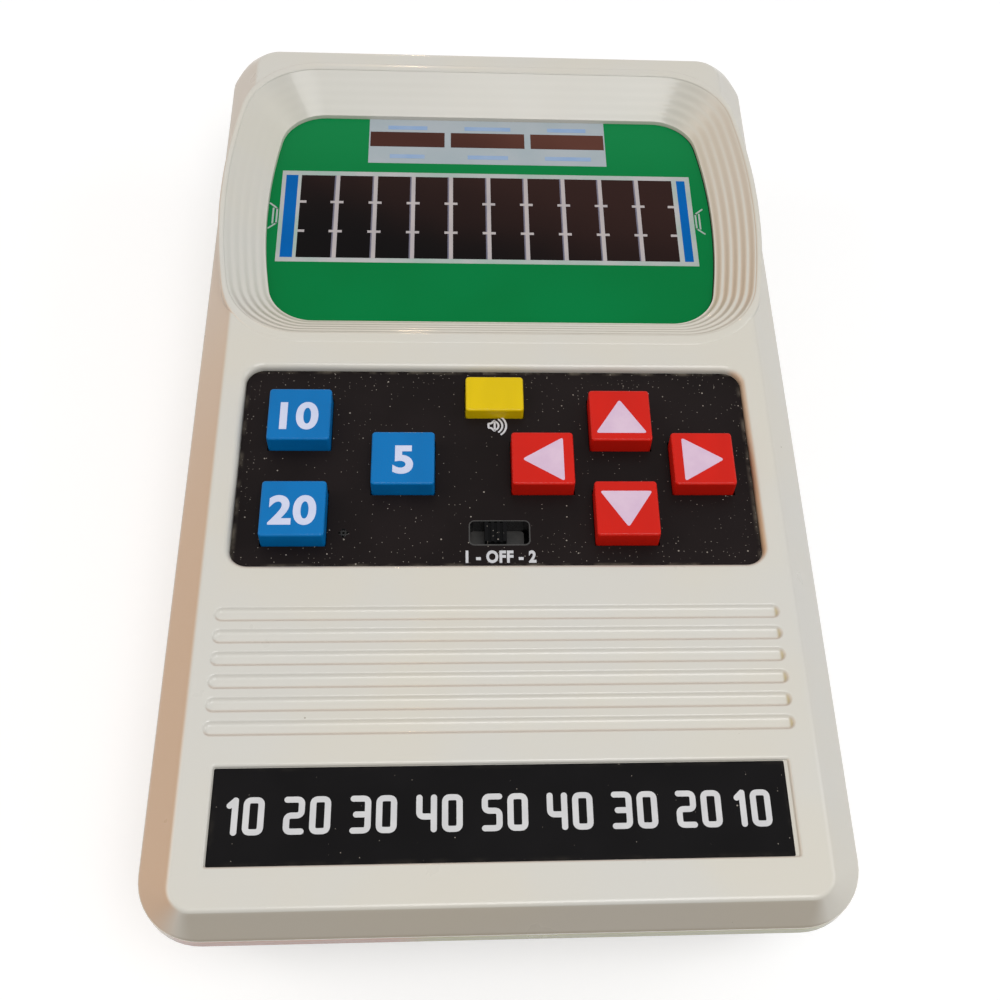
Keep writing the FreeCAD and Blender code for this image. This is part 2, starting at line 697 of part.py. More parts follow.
def rear_body():
    """The rear shell's outside: a straight band at the joint line, then sides leaning in."""
    wires = []
    edge = turned_edge((REAR_SIDE_SLANT, REAR_END_SLANT), Z_BAND, REAR_EDGE_DROP)
    for (side, end), lift in reversed(edge):
        share = lift / Z_BAND
        inward = end - REAR_END_SLANT * (1.0 - share)
        foot_r = REAR_CORNER_R + (CASE_FOOT_R - REAR_CORNER_R) * share - inward
        top_r = REAR_CORNER_R + (CASE_TOP_R - REAR_CORNER_R) * share - inward
        wires.append(case_outline(side, end, foot_r, top_r, lift))
    wires.append(case_outline(0.0, 0.0, CASE_FOOT_R, CASE_TOP_R, Z_BAND))
    wires.append(case_outline(0.0, 0.0, CASE_FOOT_R, CASE_TOP_R, Z_JOINT))
    return skin(wires)


def rear_cavity():
    """The room inside the rear shell."""
    lean = (Z_BAND - REAR_FLOOR) / Z_BAND
    r = REAR_CORNER_R - WALL
    return planed([
        room_outline(WALL + REAR_SIDE_SLANT * lean, WALL + REAR_END_SLANT * lean, r, r, REAR_FLOOR),
        joint_room(WALL, Z_BAND),
        joint_room(WALL, Z_JOINT + OVER),
    ])


def door_path():
    """The space that the battery door and its tongues take, out through the case's foot."""
    half_w = DOOR_HALF_W + DOOR_GAP
    y0 = -CASE_HALF_L - OVER
    y1 = DOOR_NEAR_Y + DOOR_GAP
    top = DOOR_TOP + DOOR_GAP
    plate = box(-half_w, half_w, y0, y1, -OVER, top)
    wide = half_w + DOOR_TONGUE
    return plate.fuse(box(-wide, wide, y0, y1, DOOR_TOP - DOOR_TONGUE_T - DOOR_GAP, top))


def sound_slots():
    """Round-ended slots in front of the speaker, each as long as the speaker is wide there."""
    slots = []
    r = SOUND_SLOT_W / 2.0
    for i in range(SOUND_SLOTS):
        dy = SOUND_PITCH * (i - (SOUND_SLOTS - 1) / 2.0)
        half_l = math.sqrt(SOUND_R * SOUND_R - dy * dy)
        y = SPEAKER_Y + dy
        end_r = r * ROUND_SHARE
        outline = faceted(-half_l, half_l, y - r, y + r, end_r, end_r, SLOT_SIDES, -OVER)
        slots.append(flat(outline).extrude(V(0, 0, REAR_FLOOR + 2.0 * OVER)))
    return slots


def speaker_ring():
    """The wall that the speaker sits in."""
    inner = SPEAKER_R + SPEAKER_GAP
    foot = REAR_FLOOR - MERGE
    walls = []
    for radius, z1 in ((inner + RING_WALL, REAR_FLOOR + RING_H), (inner, REAR_FLOOR + RING_H + OVER)):
        walls.append(planed([regular(0.0, SPEAKER_Y, z, radius, SPEAKER_SIDES) for z in (foot, z1)]))
    return walls[0].cut(walls[1])


def rear_case():
    """The rear shell, with screw columns, speaker ring, battery bay and door rails."""
    body = rear_body()
    bay_x = BAY_HALF_L + BAY_WALL
    bay_y = BAY_HALF_W + BAY_WALL
    rail_x = DOOR_HALF_W + DOOR_GAP + DOOR_TONGUE + BAY_WALL
    foot = REAR_FLOOR - MERGE
    extras = [
        box(-bay_x, bay_x, BAY_Y - bay_y, BAY_Y + bay_y, foot, BAY_TOP + BAY_WALL),
        box(-rail_x, rail_x, -CASE_HALF_L, DOOR_NEAR_Y + BAY_WALL, foot, REAR_FLOOR + BAY_WALL),
        speaker_ring(),
    ]
    for x, y in BOSS_PLACES:
        extras.append(rod(x, y, foot, Z_COLUMN, COLUMN_R))
    extras = [extra.common(body) for extra in extras]
    shell = fuse_all(body.cut(rear_cavity()), extras)
    cuts = [door_path()]
    cuts.append(box(-BAY_HALF_L, BAY_HALF_L, BAY_Y - BAY_HALF_W, BAY_Y + BAY_HALF_W, DOOR_TOP, BAY_TOP))
    for x, y in BOSS_PLACES:
        cuts.append(rod(x, y, -OVER, Z_SEAT, HEAD_BORE_R))
        cuts.append(rod(x, y, Z_SEAT - OVER, Z_COLUMN + OVER, SCREW_R + SCREW_GAP))
    return shell.cut(cuts + sound_slots()).removeSplitter()


def battery_door():
    """The sliding door: a plate with two tongues and finger grooves, cut to the case's slope."""
    wide = DOOR_HALF_W + DOOR_TONGUE
    door = box(-DOOR_HALF_W, DOOR_HALF_W, -CASE_HALF_L, DOOR_NEAR_Y, DOOR_LIFT, DOOR_TOP)
    door = door.fuse(box(-wide, wide, -CASE_HALF_L, DOOR_NEAR_Y, DOOR_TOP - DOOR_TONGUE_T, DOOR_TOP))
    door = door.common(rear_body())
    grooves = []
    for i in range(GRIP_RIBS):
        y = BAY_Y - GRIP_PITCH * i
        grooves.append(box(-GRIP_L / 2.0, GRIP_L / 2.0, y - GRIP_W / 2.0, y + GRIP_W / 2.0, 0.0,
                           DOOR_LIFT + GRIP_DEPTH))
    return door.cut(grooves).removeSplitter()


def display_lens():
    """The printed window."""
    return prism(bowl_outline(0.0, LENS_LAND, Z_FILTER), LENS_T)


def display_filter():
    """The dark red sheet behind the lens."""
    return prism(bowl_outline(0.0, LENS_LAND, Z_FRAME), FILTER_T)


def key_panel():
    """The thin plate that the keys come through."""
    half_w = PANEL_HALF_W - PANEL_GAP
    r = PANEL_CORNER_R - PANEL_GAP
    wire = rounded(-half_w, half_w, PANEL_BOTTOM + PANEL_GAP, PANEL_TOP - PANEL_GAP, r, r, Z_PANEL_FLOOR)
    return prism(wire, PANEL_T).cut(panel_openings(Z_PANEL_FLOOR - OVER, Z_PANEL + OVER))


def title_plate():
    """The bar at the foot of the face."""
    wire = rounded(-TITLE_HALF_W, TITLE_HALF_W, TITLE_BOTTOM, TITLE_TOP, TITLE_CORNER_R, TITLE_CORNER_R,
                   Z_FACE - TITLE_DEPTH)
    return prism(wire, TITLE_T)


def key(x, y, size_x, size_y, rise):
    """A key: cap with softened edges, flange that stops it under the panel, and stem."""
    top = Z_PANEL + rise
    r = KEY_CORNER_R
    rings = []
    for inset, z in ((0.0, Z_FLANGE), (0.0, top - KEY_EDGE), (KEY_EDGE, top)):
        cap_x = size_x / 2.0 - inset
        cap_y = size_y / 2.0 - inset
        rings.append(faceted(x - cap_x, x + cap_x, y - cap_y, y + cap_y, r, r, KEY_SIDES, z))
    cap = planed(rings)
    half_x = size_x / 2.0 + KEY_FLANGE
    half_y = size_y / 2.0 + KEY_FLANGE
    flange = box(x - half_x, x + half_x, y - half_y, y + half_y, Z_FLANGE - KEY_FLANGE_T, Z_FLANGE)
    return fuse_all(cap, [flange, rod(x, y, Z_STEM, Z_FLANGE, KEY_STEM_R)])


def key_mat():
    """The rubber mat on the board, with a dome under each key."""
    half_w = PANEL_HALF_W - MAT_SIDE_MARGIN
    mat = box(-half_w, half_w, BOARD_BOTTOM + MAT_MARGIN, PANEL_TOP - MAT_MARGIN / 2.0, Z_BOARD, Z_MAT)
    domes = []
    for x, y in KEY_PLACES:
        domes.append(planed([regular(x, y, Z_MAT, DOME_R), regular(x, y, Z_MAT + DOME_H, DOME_TIP_R)]))
    half_h = SWITCH_H / 2.0 + MAT_MARGIN / 2.0
    gap = box(SWITCH_LEFT - MAT_MARGIN / 2.0, SWITCH_RIGHT + MAT_MARGIN / 2.0, SLOT_Y - half_h,
              SLOT_Y + half_h, Z_BOARD - OVER, Z_MAT + OVER)
    return fuse_all(mat, domes).cut(gap)


def main_board():
    """The circuit board, notched round the screw columns at its top corners."""
    board = box(-BOARD_HALF_W, BOARD_HALF_W, BOARD_BOTTOM, BOARD_TOP, Z_BOARD_UNDER, Z_BOARD)
    z0 = Z_BOARD_UNDER - OVER
    z1 = Z_BOARD + OVER
    room = COLUMN_R + BOARD_NOTCH_ROOM
    cuts = []
    for side in (-1, 1):
        x0, x1 = sorted((side * (BOSS_X - room), side * (BOARD_HALF_W + OVER)))
        cuts.append(box(x0, x1, BOSS_TOP_Y - room, BOARD_TOP + OVER, z0, z1))
    for x, y in POST_PLACES:
        cuts.append(rod(x, y, z0, z1, BOARD_SCREW_R + SCREW_GAP))
    return board.cut(cuts)


def upright_tile(x, y, w, h, z1):
    """A small block on the board, centred on a place."""
    return box(x - w / 2.0, x + w / 2.0, y - h / 2.0, y + h / 2.0, Z_BOARD, z1)


def led_dashes():
    """The field's light bars, in rows and columns on the board."""
    bars = []
    for row in range(LED_ROWS):
        for column in range(LED_COLUMNS):
            x = PRINT_X + FIELD_PITCH * (column - (LED_COLUMNS - 1) / 2.0)
            y = BOWL_Y - FIELD_DROP + FIELD_ROW * row
            bars.append(upright_tile(x, y, LED_W, LED_H, Z_FRAME - LED_ROOM))
    return Part.makeCompound(bars)


def score_digits():
    """Three digit modules in a row above the field."""
    modules = []
    for i in range(DIGITS):
        x = PRINT_X + DIGIT_PITCH * (i - (DIGITS - 1) / 2.0)
        modules.append(upright_tile(x, BOWL_Y + DIGIT_LIFT, DIGIT_W, DIGIT_H, Z_FRAME - DIGIT_ROOM))
    return Part.makeCompound(modules)


def game_chip():
    """The controller in its long package, under the board."""
    y = PANEL_TOP - CHIP_DROP
    top = Z_BOARD_UNDER - CHIP_STANDOFF
    body = box(-CHIP_W / 2.0, CHIP_W / 2.0, y - CHIP_H / 2.0, y + CHIP_H / 2.0, top - CHIP_T, top)
    pins = []
    for side in (-1, 1):
        for i in range(CHIP_PINS):
            x = (i - (CHIP_PINS - 1) / 2.0) * PIN_PITCH
            y0, y1 = sorted((side * (CHIP_H / 2.0 - MERGE), side * (CHIP_H / 2.0 + PIN_W)))
            pins.append(box(x - PIN_W / 2.0, x + PIN_W / 2.0, y + y0, y + y1,
                            top - CHIP_T / 2.0, Z_BOARD_UNDER))
    return fuse_all(body, pins)


def capacitors():
    """Round capacitors standing down from the board."""
    x = CHIP_W / 2.0 + CAP_TO_CHIP + CAP_R
    y = BOARD_BOTTOM + CAP_FOOT_ROOM
    return Part.makeCompound([
        rod(x, y + CAP_PITCH * i, Z_BOARD_UNDER - CAP_L, Z_BOARD_UNDER, CAP_R)
        for i in range(CAPACITORS)
    ])


def resistors():
    """A row of resistors lying under the board on their bent leads."""
    pieces = []
    x = -(CHIP_W / 2.0 + RESISTOR_TO_CHIP + RESISTOR_LEAD_W / 2.0 + RESISTOR_L / 2.0)
    z = Z_BOARD_UNDER - RESISTOR_R - RESISTOR_STANDOFF
    half_l = RESISTOR_L / 2.0
    half_w = RESISTOR_LEAD_W / 2.0
    for i in range(RESISTORS):
        y = BOARD_BOTTOM + RESISTOR_FOOT_ROOM + RESISTOR_PITCH * i
        piece = rod_across(x - half_l, x + half_l, y, z, RESISTOR_R)
        leads = []
        for end in (x - half_l, x + half_l):
            leads.append(box(end - half_w, end + half_w, y - half_w, y + half_w, z, Z_BOARD_UNDER))
        pieces.append(fuse_all(piece, leads))
    return Part.makeCompound(pieces)


def switch_housing():
    """The slide switch's can on the board, slit for the knob's neck."""
    half_h = SWITCH_H / 2.0
    can = box(SWITCH_LEFT, SWITCH_RIGHT, SLOT_Y - half_h, SLOT_Y + half_h, Z_BOARD, Z_SWITCH)
    inner_h = half_h - SWITCH_WALL
    can = can.cut(box(SWITCH_LEFT + SWITCH_WALL, SWITCH_RIGHT - SWITCH_WALL, SLOT_Y - inner_h,
                      SLOT_Y + inner_h, Z_BOARD + SWITCH_WALL, Z_SWITCH - SWITCH_WALL))
    room = KNOB_NECK / 2.0 + SWITCH_GAP
    return can.cut(box(KNOB_X - KNOB_LEFT_TRAVEL - room, KNOB_X + KNOB_RIGHT_TRAVEL + room,
                       SLOT_Y - room, SLOT_Y + room, Z_SWITCH - SWITCH_WALL - OVER, Z_SWITCH + OVER))


def switch_knob():
    """The knob: ribbed head in the panel's slot, neck, and foot inside the can."""
    top = Z_PANEL + KNOB_RISE
    head = box(KNOB_X - KNOB_W / 2.0, KNOB_X + KNOB_W / 2.0, SLOT_Y - KNOB_H / 2.0, SLOT_Y + KNOB_H / 2.0,
               Z_PANEL_UNDER + KEY_FLANGE_GAP, top)
    half = KNOB_NECK / 2.0
    foot_top = Z_SWITCH - SWITCH_WALL - SWITCH_GAP
    neck = box(KNOB_X - half, KNOB_X + half, SLOT_Y - half, SLOT_Y + half, foot_top - MERGE, Z_PANEL_FLOOR)
    foot_h = SWITCH_H / 2.0 - SWITCH_WALL - SWITCH_GAP
    foot = box(KNOB_X - KNOB_FOOT_W / 2.0, KNOB_X + KNOB_FOOT_W / 2.0, SLOT_Y - foot_h, SLOT_Y + foot_h,
               foot_top - KNOB_FOOT_T, foot_top)
    grooves = []
    for i in range(KNOB_RIBS):
        x = KNOB_X + KNOB_RIB_PITCH * (i - (KNOB_RIBS - 1) / 2.0)
        grooves.append(box(x - KNOB_RIB_W / 2.0, x + KNOB_RIB_W / 2.0, SLOT_Y - KNOB_H, SLOT_Y + KNOB_H,
                           top - KNOB_RIB_DEPTH, top + OVER))
    return fuse_all(head, [neck, foot]).cut(grooves)


def speaker():
    """A small loudspeaker: rim, basket and magnet, with the cone's hollow in the front."""
    z = REAR_FLOOR
    basket_top = z + SPEAKER_H - MAGNET_T
    body = ((SPEAKER_R, z), (SPEAKER_R, z + SPEAKER_RIM_T), (MAGNET_R, basket_top),
            (MAGNET_R, z + SPEAKER_H))
    cone = ((SPEAKER_R - SPEAKER_RIM_W, z), (MAGNET_R, z + SPEAKER_RIM_T))
    solids = []
    for profile in (body, cone):
        solids.append(planed([regular(0.0, SPEAKER_Y, h, r, SPEAKER_SIDES) for r, h in profile]))
    return solids[0].cut(solids[1])


def battery():
    """The nine volt battery, lying across the bay, with its two terminals."""
    body = box(BATTERY_END - BATTERY_L, BATTERY_END, BAY_Y - BATTERY_W / 2.0, BAY_Y + BATTERY_W / 2.0,
               BATTERY_Z, BATTERY_Z + BATTERY_T)
    long_edges = [e for e in body.Edges if abs(e.BoundBox.XLength - BATTERY_L) < 1e-4]
    body = body.makeFillet(BATTERY_EDGE_R, long_edges)
    z = BATTERY_Z + BATTERY_T / 2.0
    ends = []
    for side in (-1, 1):
        y = BAY_Y + side * TERMINAL_PITCH / 2.0
        ends.append(rod_across(BATTERY_END, BATTERY_END + TERMINAL_L, y, z, TERMINAL_R))
    return fuse_all(body, ends)


def battery_clip():
    """The snap connector over the battery's terminals."""
    x = BATTERY_END + CLIP_GAP
    z = BATTERY_Z + BATTERY_T / 2.0
    half_l = BATTERY_W / 2.0 - CLIP_MARGIN
    clip = box(x, x + CLIP_T, BAY_Y - half_l, BAY_Y + half_l, z - CLIP_W / 2.0, z + CLIP_W / 2.0)
    holes = []
    for side in (-1, 1):
        y = BAY_Y + side * TERMINAL_PITCH / 2.0
        holes.append(rod_across(x, x + TERMINAL_L, y, z, TERMINAL_R + CLIP_GAP))
    return clip.cut(holes)


def screw(x, y, z_seat, shank_r, length, head_r, head_t):
    """A screw driven upward, its head under the seat, with a cross in the head."""
    head = rod(x, y, z_seat - head_t, z_seat, head_r)
    body = fuse_all(head, [rod(x, y, z_seat, z_seat + length, shank_r)])
    reach = head_r * CROSS_REACH
    half = CROSS_W / 2.0
    z0 = z_seat - head_t - OVER
    z1 = z_seat - head_t / 2.0
    return body.cut([box(x - reach, x + reach, y - half, y + half, z0, z1),
                     box(x - half, x + half, y - reach, y + reach, z0, z1)])


def case_screws():
    """The six long screws that hold the shells together."""
    length = SEAT_T + SCREW_BITE
    return Part.makeCompound([
        screw(x, y, Z_SEAT, SCREW_R, length, SCREW_HEAD_R, SCREW_HEAD_T) for x, y in BOSS_PLACES
    ])


def board_screws():
    """The screws that hold the board to the front shell's posts."""
    length = BOARD_T + BOARD_SCREW_BITE
    return Part.makeCompound([
        screw(x, y, Z_BOARD_UNDER, BOARD_SCREW_R, length, BOARD_SCREW_HEAD_R, BOARD_SCREW_HEAD_T)
        for x, y in POST_PLACES
    ])


def build():
    """Every node, by name."""
    nodes = {
        "front_case": front_case(),
        "rear_case": rear_case(),
        "display_lens": display_lens(),
        "display_filter": display_filter(),
        "key_panel": key_panel(),
        "title_plate": title_plate(),
        "key_mat": key_mat(),
        "main_board": main_board(),
        "led_dashes": led_dashes(),
        "score_digits": score_digits(),
        "game_chip": game_chip(),
        "capacitors": capacitors(),
        "resistors": resistors(),
        "switch_housing": switch_housing(),
        "switch_knob": switch_knob(),
        "speaker": speaker(),
        "battery": battery(),
        "battery_clip": battery_clip(),
        "battery_door": battery_door(),
        "case_screws": case_screws(),
        "board_screws": board_screws(),
        "key_yellow": key(YELLOW_X, YELLOW_Y, YELLOW_W, YELLOW_H, YELLOW_RISE),
    }
    for name, (x, y) in KEYS.items():
        nodes[name] = key(x, y, KEY_SIZE, KEY_SIZE, KEY_RISE)
    return nodes


def main():
    """Write one STEP file for each node."""
    os.makedirs("parts", exist_ok=True)
    for name, shape in build().items():
        shape.exportStep(os.path.join("parts", name + ".step"))
        volume = round(shape.Volume, 1)
        print(name, "solids", len(shape.Solids), "valid", shape.isValid(), "volume", volume)


main()
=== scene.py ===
"""Dresses a handheld electronic football game: smooth shells, moulded keys, the printed
display, plain numerals and procedural finishes, lit by soft studio light."""

import math

import bmesh
import bpy
import numpy as np
from bpy.props import FloatProperty, FloatVectorProperty, IntProperty, PointerProperty
from bpy.types import Operator, Panel, PropertyGroup
from mathutils import Matrix, Vector
from mathutils.geometry import tessellate_polygon


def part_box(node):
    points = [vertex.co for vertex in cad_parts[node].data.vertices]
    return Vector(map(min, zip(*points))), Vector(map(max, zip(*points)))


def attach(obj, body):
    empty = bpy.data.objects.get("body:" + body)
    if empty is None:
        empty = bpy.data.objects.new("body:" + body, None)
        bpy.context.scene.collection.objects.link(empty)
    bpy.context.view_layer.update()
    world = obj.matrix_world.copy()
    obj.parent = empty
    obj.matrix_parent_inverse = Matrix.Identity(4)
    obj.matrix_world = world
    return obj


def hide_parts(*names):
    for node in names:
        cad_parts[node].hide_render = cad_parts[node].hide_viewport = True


bl_info = {
    "name": "Handheld Football Game",
    "version": (1, 0, 0),
    "blender": (4, 5, 0),
    "location": "View3D > Sidebar > Game",
    "description": "Builds the looks of a handheld electronic football game",
    "category": "Object",
}

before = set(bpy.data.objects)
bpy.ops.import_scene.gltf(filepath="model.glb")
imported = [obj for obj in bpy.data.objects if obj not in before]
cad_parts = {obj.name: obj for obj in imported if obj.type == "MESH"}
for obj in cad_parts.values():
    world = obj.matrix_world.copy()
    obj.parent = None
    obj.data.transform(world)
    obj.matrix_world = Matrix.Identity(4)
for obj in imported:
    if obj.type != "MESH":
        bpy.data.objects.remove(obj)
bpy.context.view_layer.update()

MM = 0.001


def middle(lo, hi):
    """The centre of a box in plan."""
    return (lo[0] + hi[0]) / 2.0, (lo[1] + hi[1]) / 2.0


def halves(lo, hi):
    """Half the width and half the length of a box in plan."""
    return (hi[0] - lo[0]) / 2.0, (hi[1] - lo[1]) / 2.0


# Levels and places taken from the frame, in metres. The bowl covers the lens's outer land.
TITLE_LO, TITLE_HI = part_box("title_plate")
PANEL_LO, PANEL_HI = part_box("key_panel")
LENS_LO, LENS_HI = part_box("display_lens")
FACE_Z = TITLE_HI.z + 0.5 * MM
PANEL_Z = PANEL_HI.z
JOINT_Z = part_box("rear_case")[1].z
CASE_X, CASE_Y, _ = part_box("front_case")[1]
LENS_LAND = 1.4 * MM
LENS_X, LENS_Y = middle(LENS_LO, LENS_HI)
WINDOW_X, WINDOW_Y = (half - LENS_LAND for half in halves(LENS_LO, LENS_HI))

# Each key's body, its colour, and what its top shows: a numeral, a triangle that points at an
# angle in degrees, or nothing.
KEYS = {
    "key_blue_top": ("top_blue_key", "key_blue", "10"),
    "key_blue_middle": ("middle_blue_key", "key_blue", "5"),
    "key_blue_bottom": ("bottom_blue_key", "key_blue", "20"),
    "key_up": ("up_key", "key_red", 90.0),
    "key_left": ("left_key", "key_red", 180.0),
    "key_right": ("right_key", "key_red", 0.0),
    "key_down": ("down_key", "key_red", 270.0),
    "key_yellow": ("yellow_key", "key_yellow", None),
}

# The field's print on the display: left, right, foot and head of the dark window and of the
# frame round it, the two blue end zones, the yard lines and the two rows of dashes on them.
FIELD = (-31.15 * MM, 30.15 * MM, 31.1 * MM, 49.0 * MM)
FIELD_FRAME = (-34.3 * MM, 33.2 * MM, 30.2 * MM, 49.95 * MM)
END_ZONES = ((-33.65 * MM, -31.7 * MM), (30.95 * MM, 32.4 * MM))
YARD_CENTRE = -0.5 * MM
YARD_PITCH = 6.17 * MM
DASH_ROWS = (LENS_Y + 2.95 * MM, LENS_Y - 3.4 * MM)

# The switch's slot in the panel, and the small moulding mark to its left, in plan.
SLOT_LO, SLOT_HI = Vector((-3.97, -23.7, 0.0)) * MM, Vector((4.07, -20.1, 0.0)) * MM
MARK_AT = Vector((-21.1, -21.9, 0.0)) * MM

# Strokes of each sign on a grid one wide and two high; True marks a closed stroke.
SIGNS = {
    "0": [(True, [(0, 0), (1, 0), (1, 2), (0, 2)])],
    "1": [(False, [(0.5, 0), (0.5, 2)]), (False, [(0.5, 2), (0.12, 1.68)])],
    "2": [(False, [(0, 2), (1, 2), (1, 1), (0, 1), (0, 0), (1, 0)])],
    "3": [(False, [(0, 2), (1, 2), (1, 0), (0, 0)]), (False, [(0.2, 1), (1, 1)])],
    "4": [(False, [(0, 2), (0, 0.8), (1, 0.8)]), (False, [(1, 2), (1, 0)])],
    "5": [(False, [(1, 2), (0, 2), (0, 1.1), (1, 1.1), (1, 0), (0, 0)])],
}


def srgb(red, green, blue):
    """A colour given in screen values from 0 to 255, as linear red, green, blue."""
    value = np.array([red, green, blue]) / 255.0
    linear = np.where(value <= 0.04045, value / 12.92, ((value + 0.055) / 1.055) ** 2.4)
    return tuple(float(v) for v in linear)


def opaque(colour):
    """A colour with full alpha."""
    return (colour[0], colour[1], colour[2], 1.0)


def sizes():
    """The user's sizes."""
    return bpy.context.scene.game_sizes


def chosen(name):
    """One of the user's colours."""
    return tuple(getattr(bpy.context.scene.game_colours, name))


class Wire:
    """An output socket to calculate with: each operation adds one Math node."""

    def __init__(self, finish, socket):
        self.finish = finish
        self.socket = socket

    def calc(self, operation, first, second=0.0):
        """One Math node on values or sockets."""
        return self.finish.node("ShaderNodeMath", {"operation": operation}, {0: first, 1: second})

    def __add__(self, other):
        return self.calc("ADD", self, other)

    __radd__ = __add__

    def __sub__(self, other):
        return self.calc("SUBTRACT", self, other)

    def __rsub__(self, other):
        return self.calc("SUBTRACT", other, self)

    def __mul__(self, other):
        return self.calc("MULTIPLY", self, other)

    __rmul__ = __mul__

    def fade(self, low, high):
        """0 below low, 1 above high and smooth between; the other way round if low > high."""
        settings = {"interpolation_type": "SMOOTHSTEP"}
        return self.finish.node("ShaderNodeMapRange", settings,
                                {"Value": self, "From Min": low, "From Max": high})


class Finish:
    """A material in the making: its node tree and shader, and the nodes that it is made of."""

    def __init__(self, name, tree=None, **values):
        if tree is None:
            self.material = bpy.data.materials.new(name)
            self.material.use_nodes = True
            tree = self.material.node_tree
        self.tree = tree
        self.shader = tree.nodes.get("Principled BSDF")
        for socket, value in values.items():
            self.set(socket.replace("_", " "), value)

    def node(self, kind, settings, sockets, output=0):
        """Adds a node: settings are its attributes, sockets the values or links of its inputs."""
        made = self.tree.nodes.new(kind)
        for key, value in settings.items():
            setattr(made, key, value)
        for key, value in sockets.items():
            self.feed(made.inputs[key], value)
        return Wire(self, made.outputs[output]) if made.outputs else None

    def feed(self, socket, value):
        """Links an output to a socket, or sets the socket to a value."""
        if isinstance(value, Wire):
            self.tree.links.new(value.socket, socket)
        else:
            socket.default_value = value

    def set(self, name, value):
        """Sets a socket of the shader, and makes a colour out of three numbers."""
        if isinstance(value, tuple) and len(value) == 3:
            value = opaque(value)
        self.feed(self.shader.inputs[name], value)

    def spot(self):
        """The place on the object, in metres."""
        return self.node("ShaderNodeTexCoord", {}, {}, "Object")

    def axis(self, vector, name):
        """One part of a vector."""
        return self.node("ShaderNodeSeparateXYZ", {}, {0: vector}, name)

    def facing(self, name):
        """One part of the direction that the surface faces."""
        return self.axis(self.node("ShaderNodeNewGeometry", {}, {}, "Normal"), name)

    def noise(self, size, detail=2.0, stretch=(1.0, 1.0, 1.0)):
        """Cloudy values about 0.5, with spots of about this size in metres."""
        place = self.node("ShaderNodeMapping", {}, {"Vector": self.spot(), "Scale": stretch})
        return self.node("ShaderNodeTexNoise", {},
                         {"Vector": place, "Scale": 1.0 / size, "Detail": detail})

    def specks(self, spacing, radius, share, flat=False):
        """1 on small round specks: one in each cell of this spacing, kept in a share of cells.
        On a flat sheet they are spread over X and Y alone, so that each one shows."""
        settings = {"feature": "F1", "voronoi_dimensions": "2D" if flat else "3D"}
        sockets = {"Vector": self.spot(), "Scale": 1.0 / spacing}
        near = self.node("ShaderNodeTexVoronoi", settings, sockets, "Distance")
        colour = self.node("ShaderNodeTexVoronoi", settings, sockets, "Color")
        lot = self.axis(colour, "X")
        size = self.axis(colour, "Y")
        edge = (size * 0.8 + 0.2) * (radius / spacing)
        dot = (edge - near).fade(0.0, 0.3 * radius / spacing)
        return dot * (lot + share).fade(1.0, 1.001)

    def mix(self, factor, first, second):
        """A colour between two."""
        first, second = (opaque(colour) if isinstance(colour, tuple) else colour
                         for colour in (first, second))
        sockets = {0: factor, 6: first, 7: second}
        return self.node("ShaderNodeMix", {"data_type": "RGBA"}, sockets, 2)

    def bump(self, height, distance, strength=1.0):
        """Lets a height shape the shading, up to this distance in metres."""
        sockets = {"Height": height, "Distance": distance, "Strength": strength}
        self.set("Normal", self.node("ShaderNodeBump", {}, sockets))


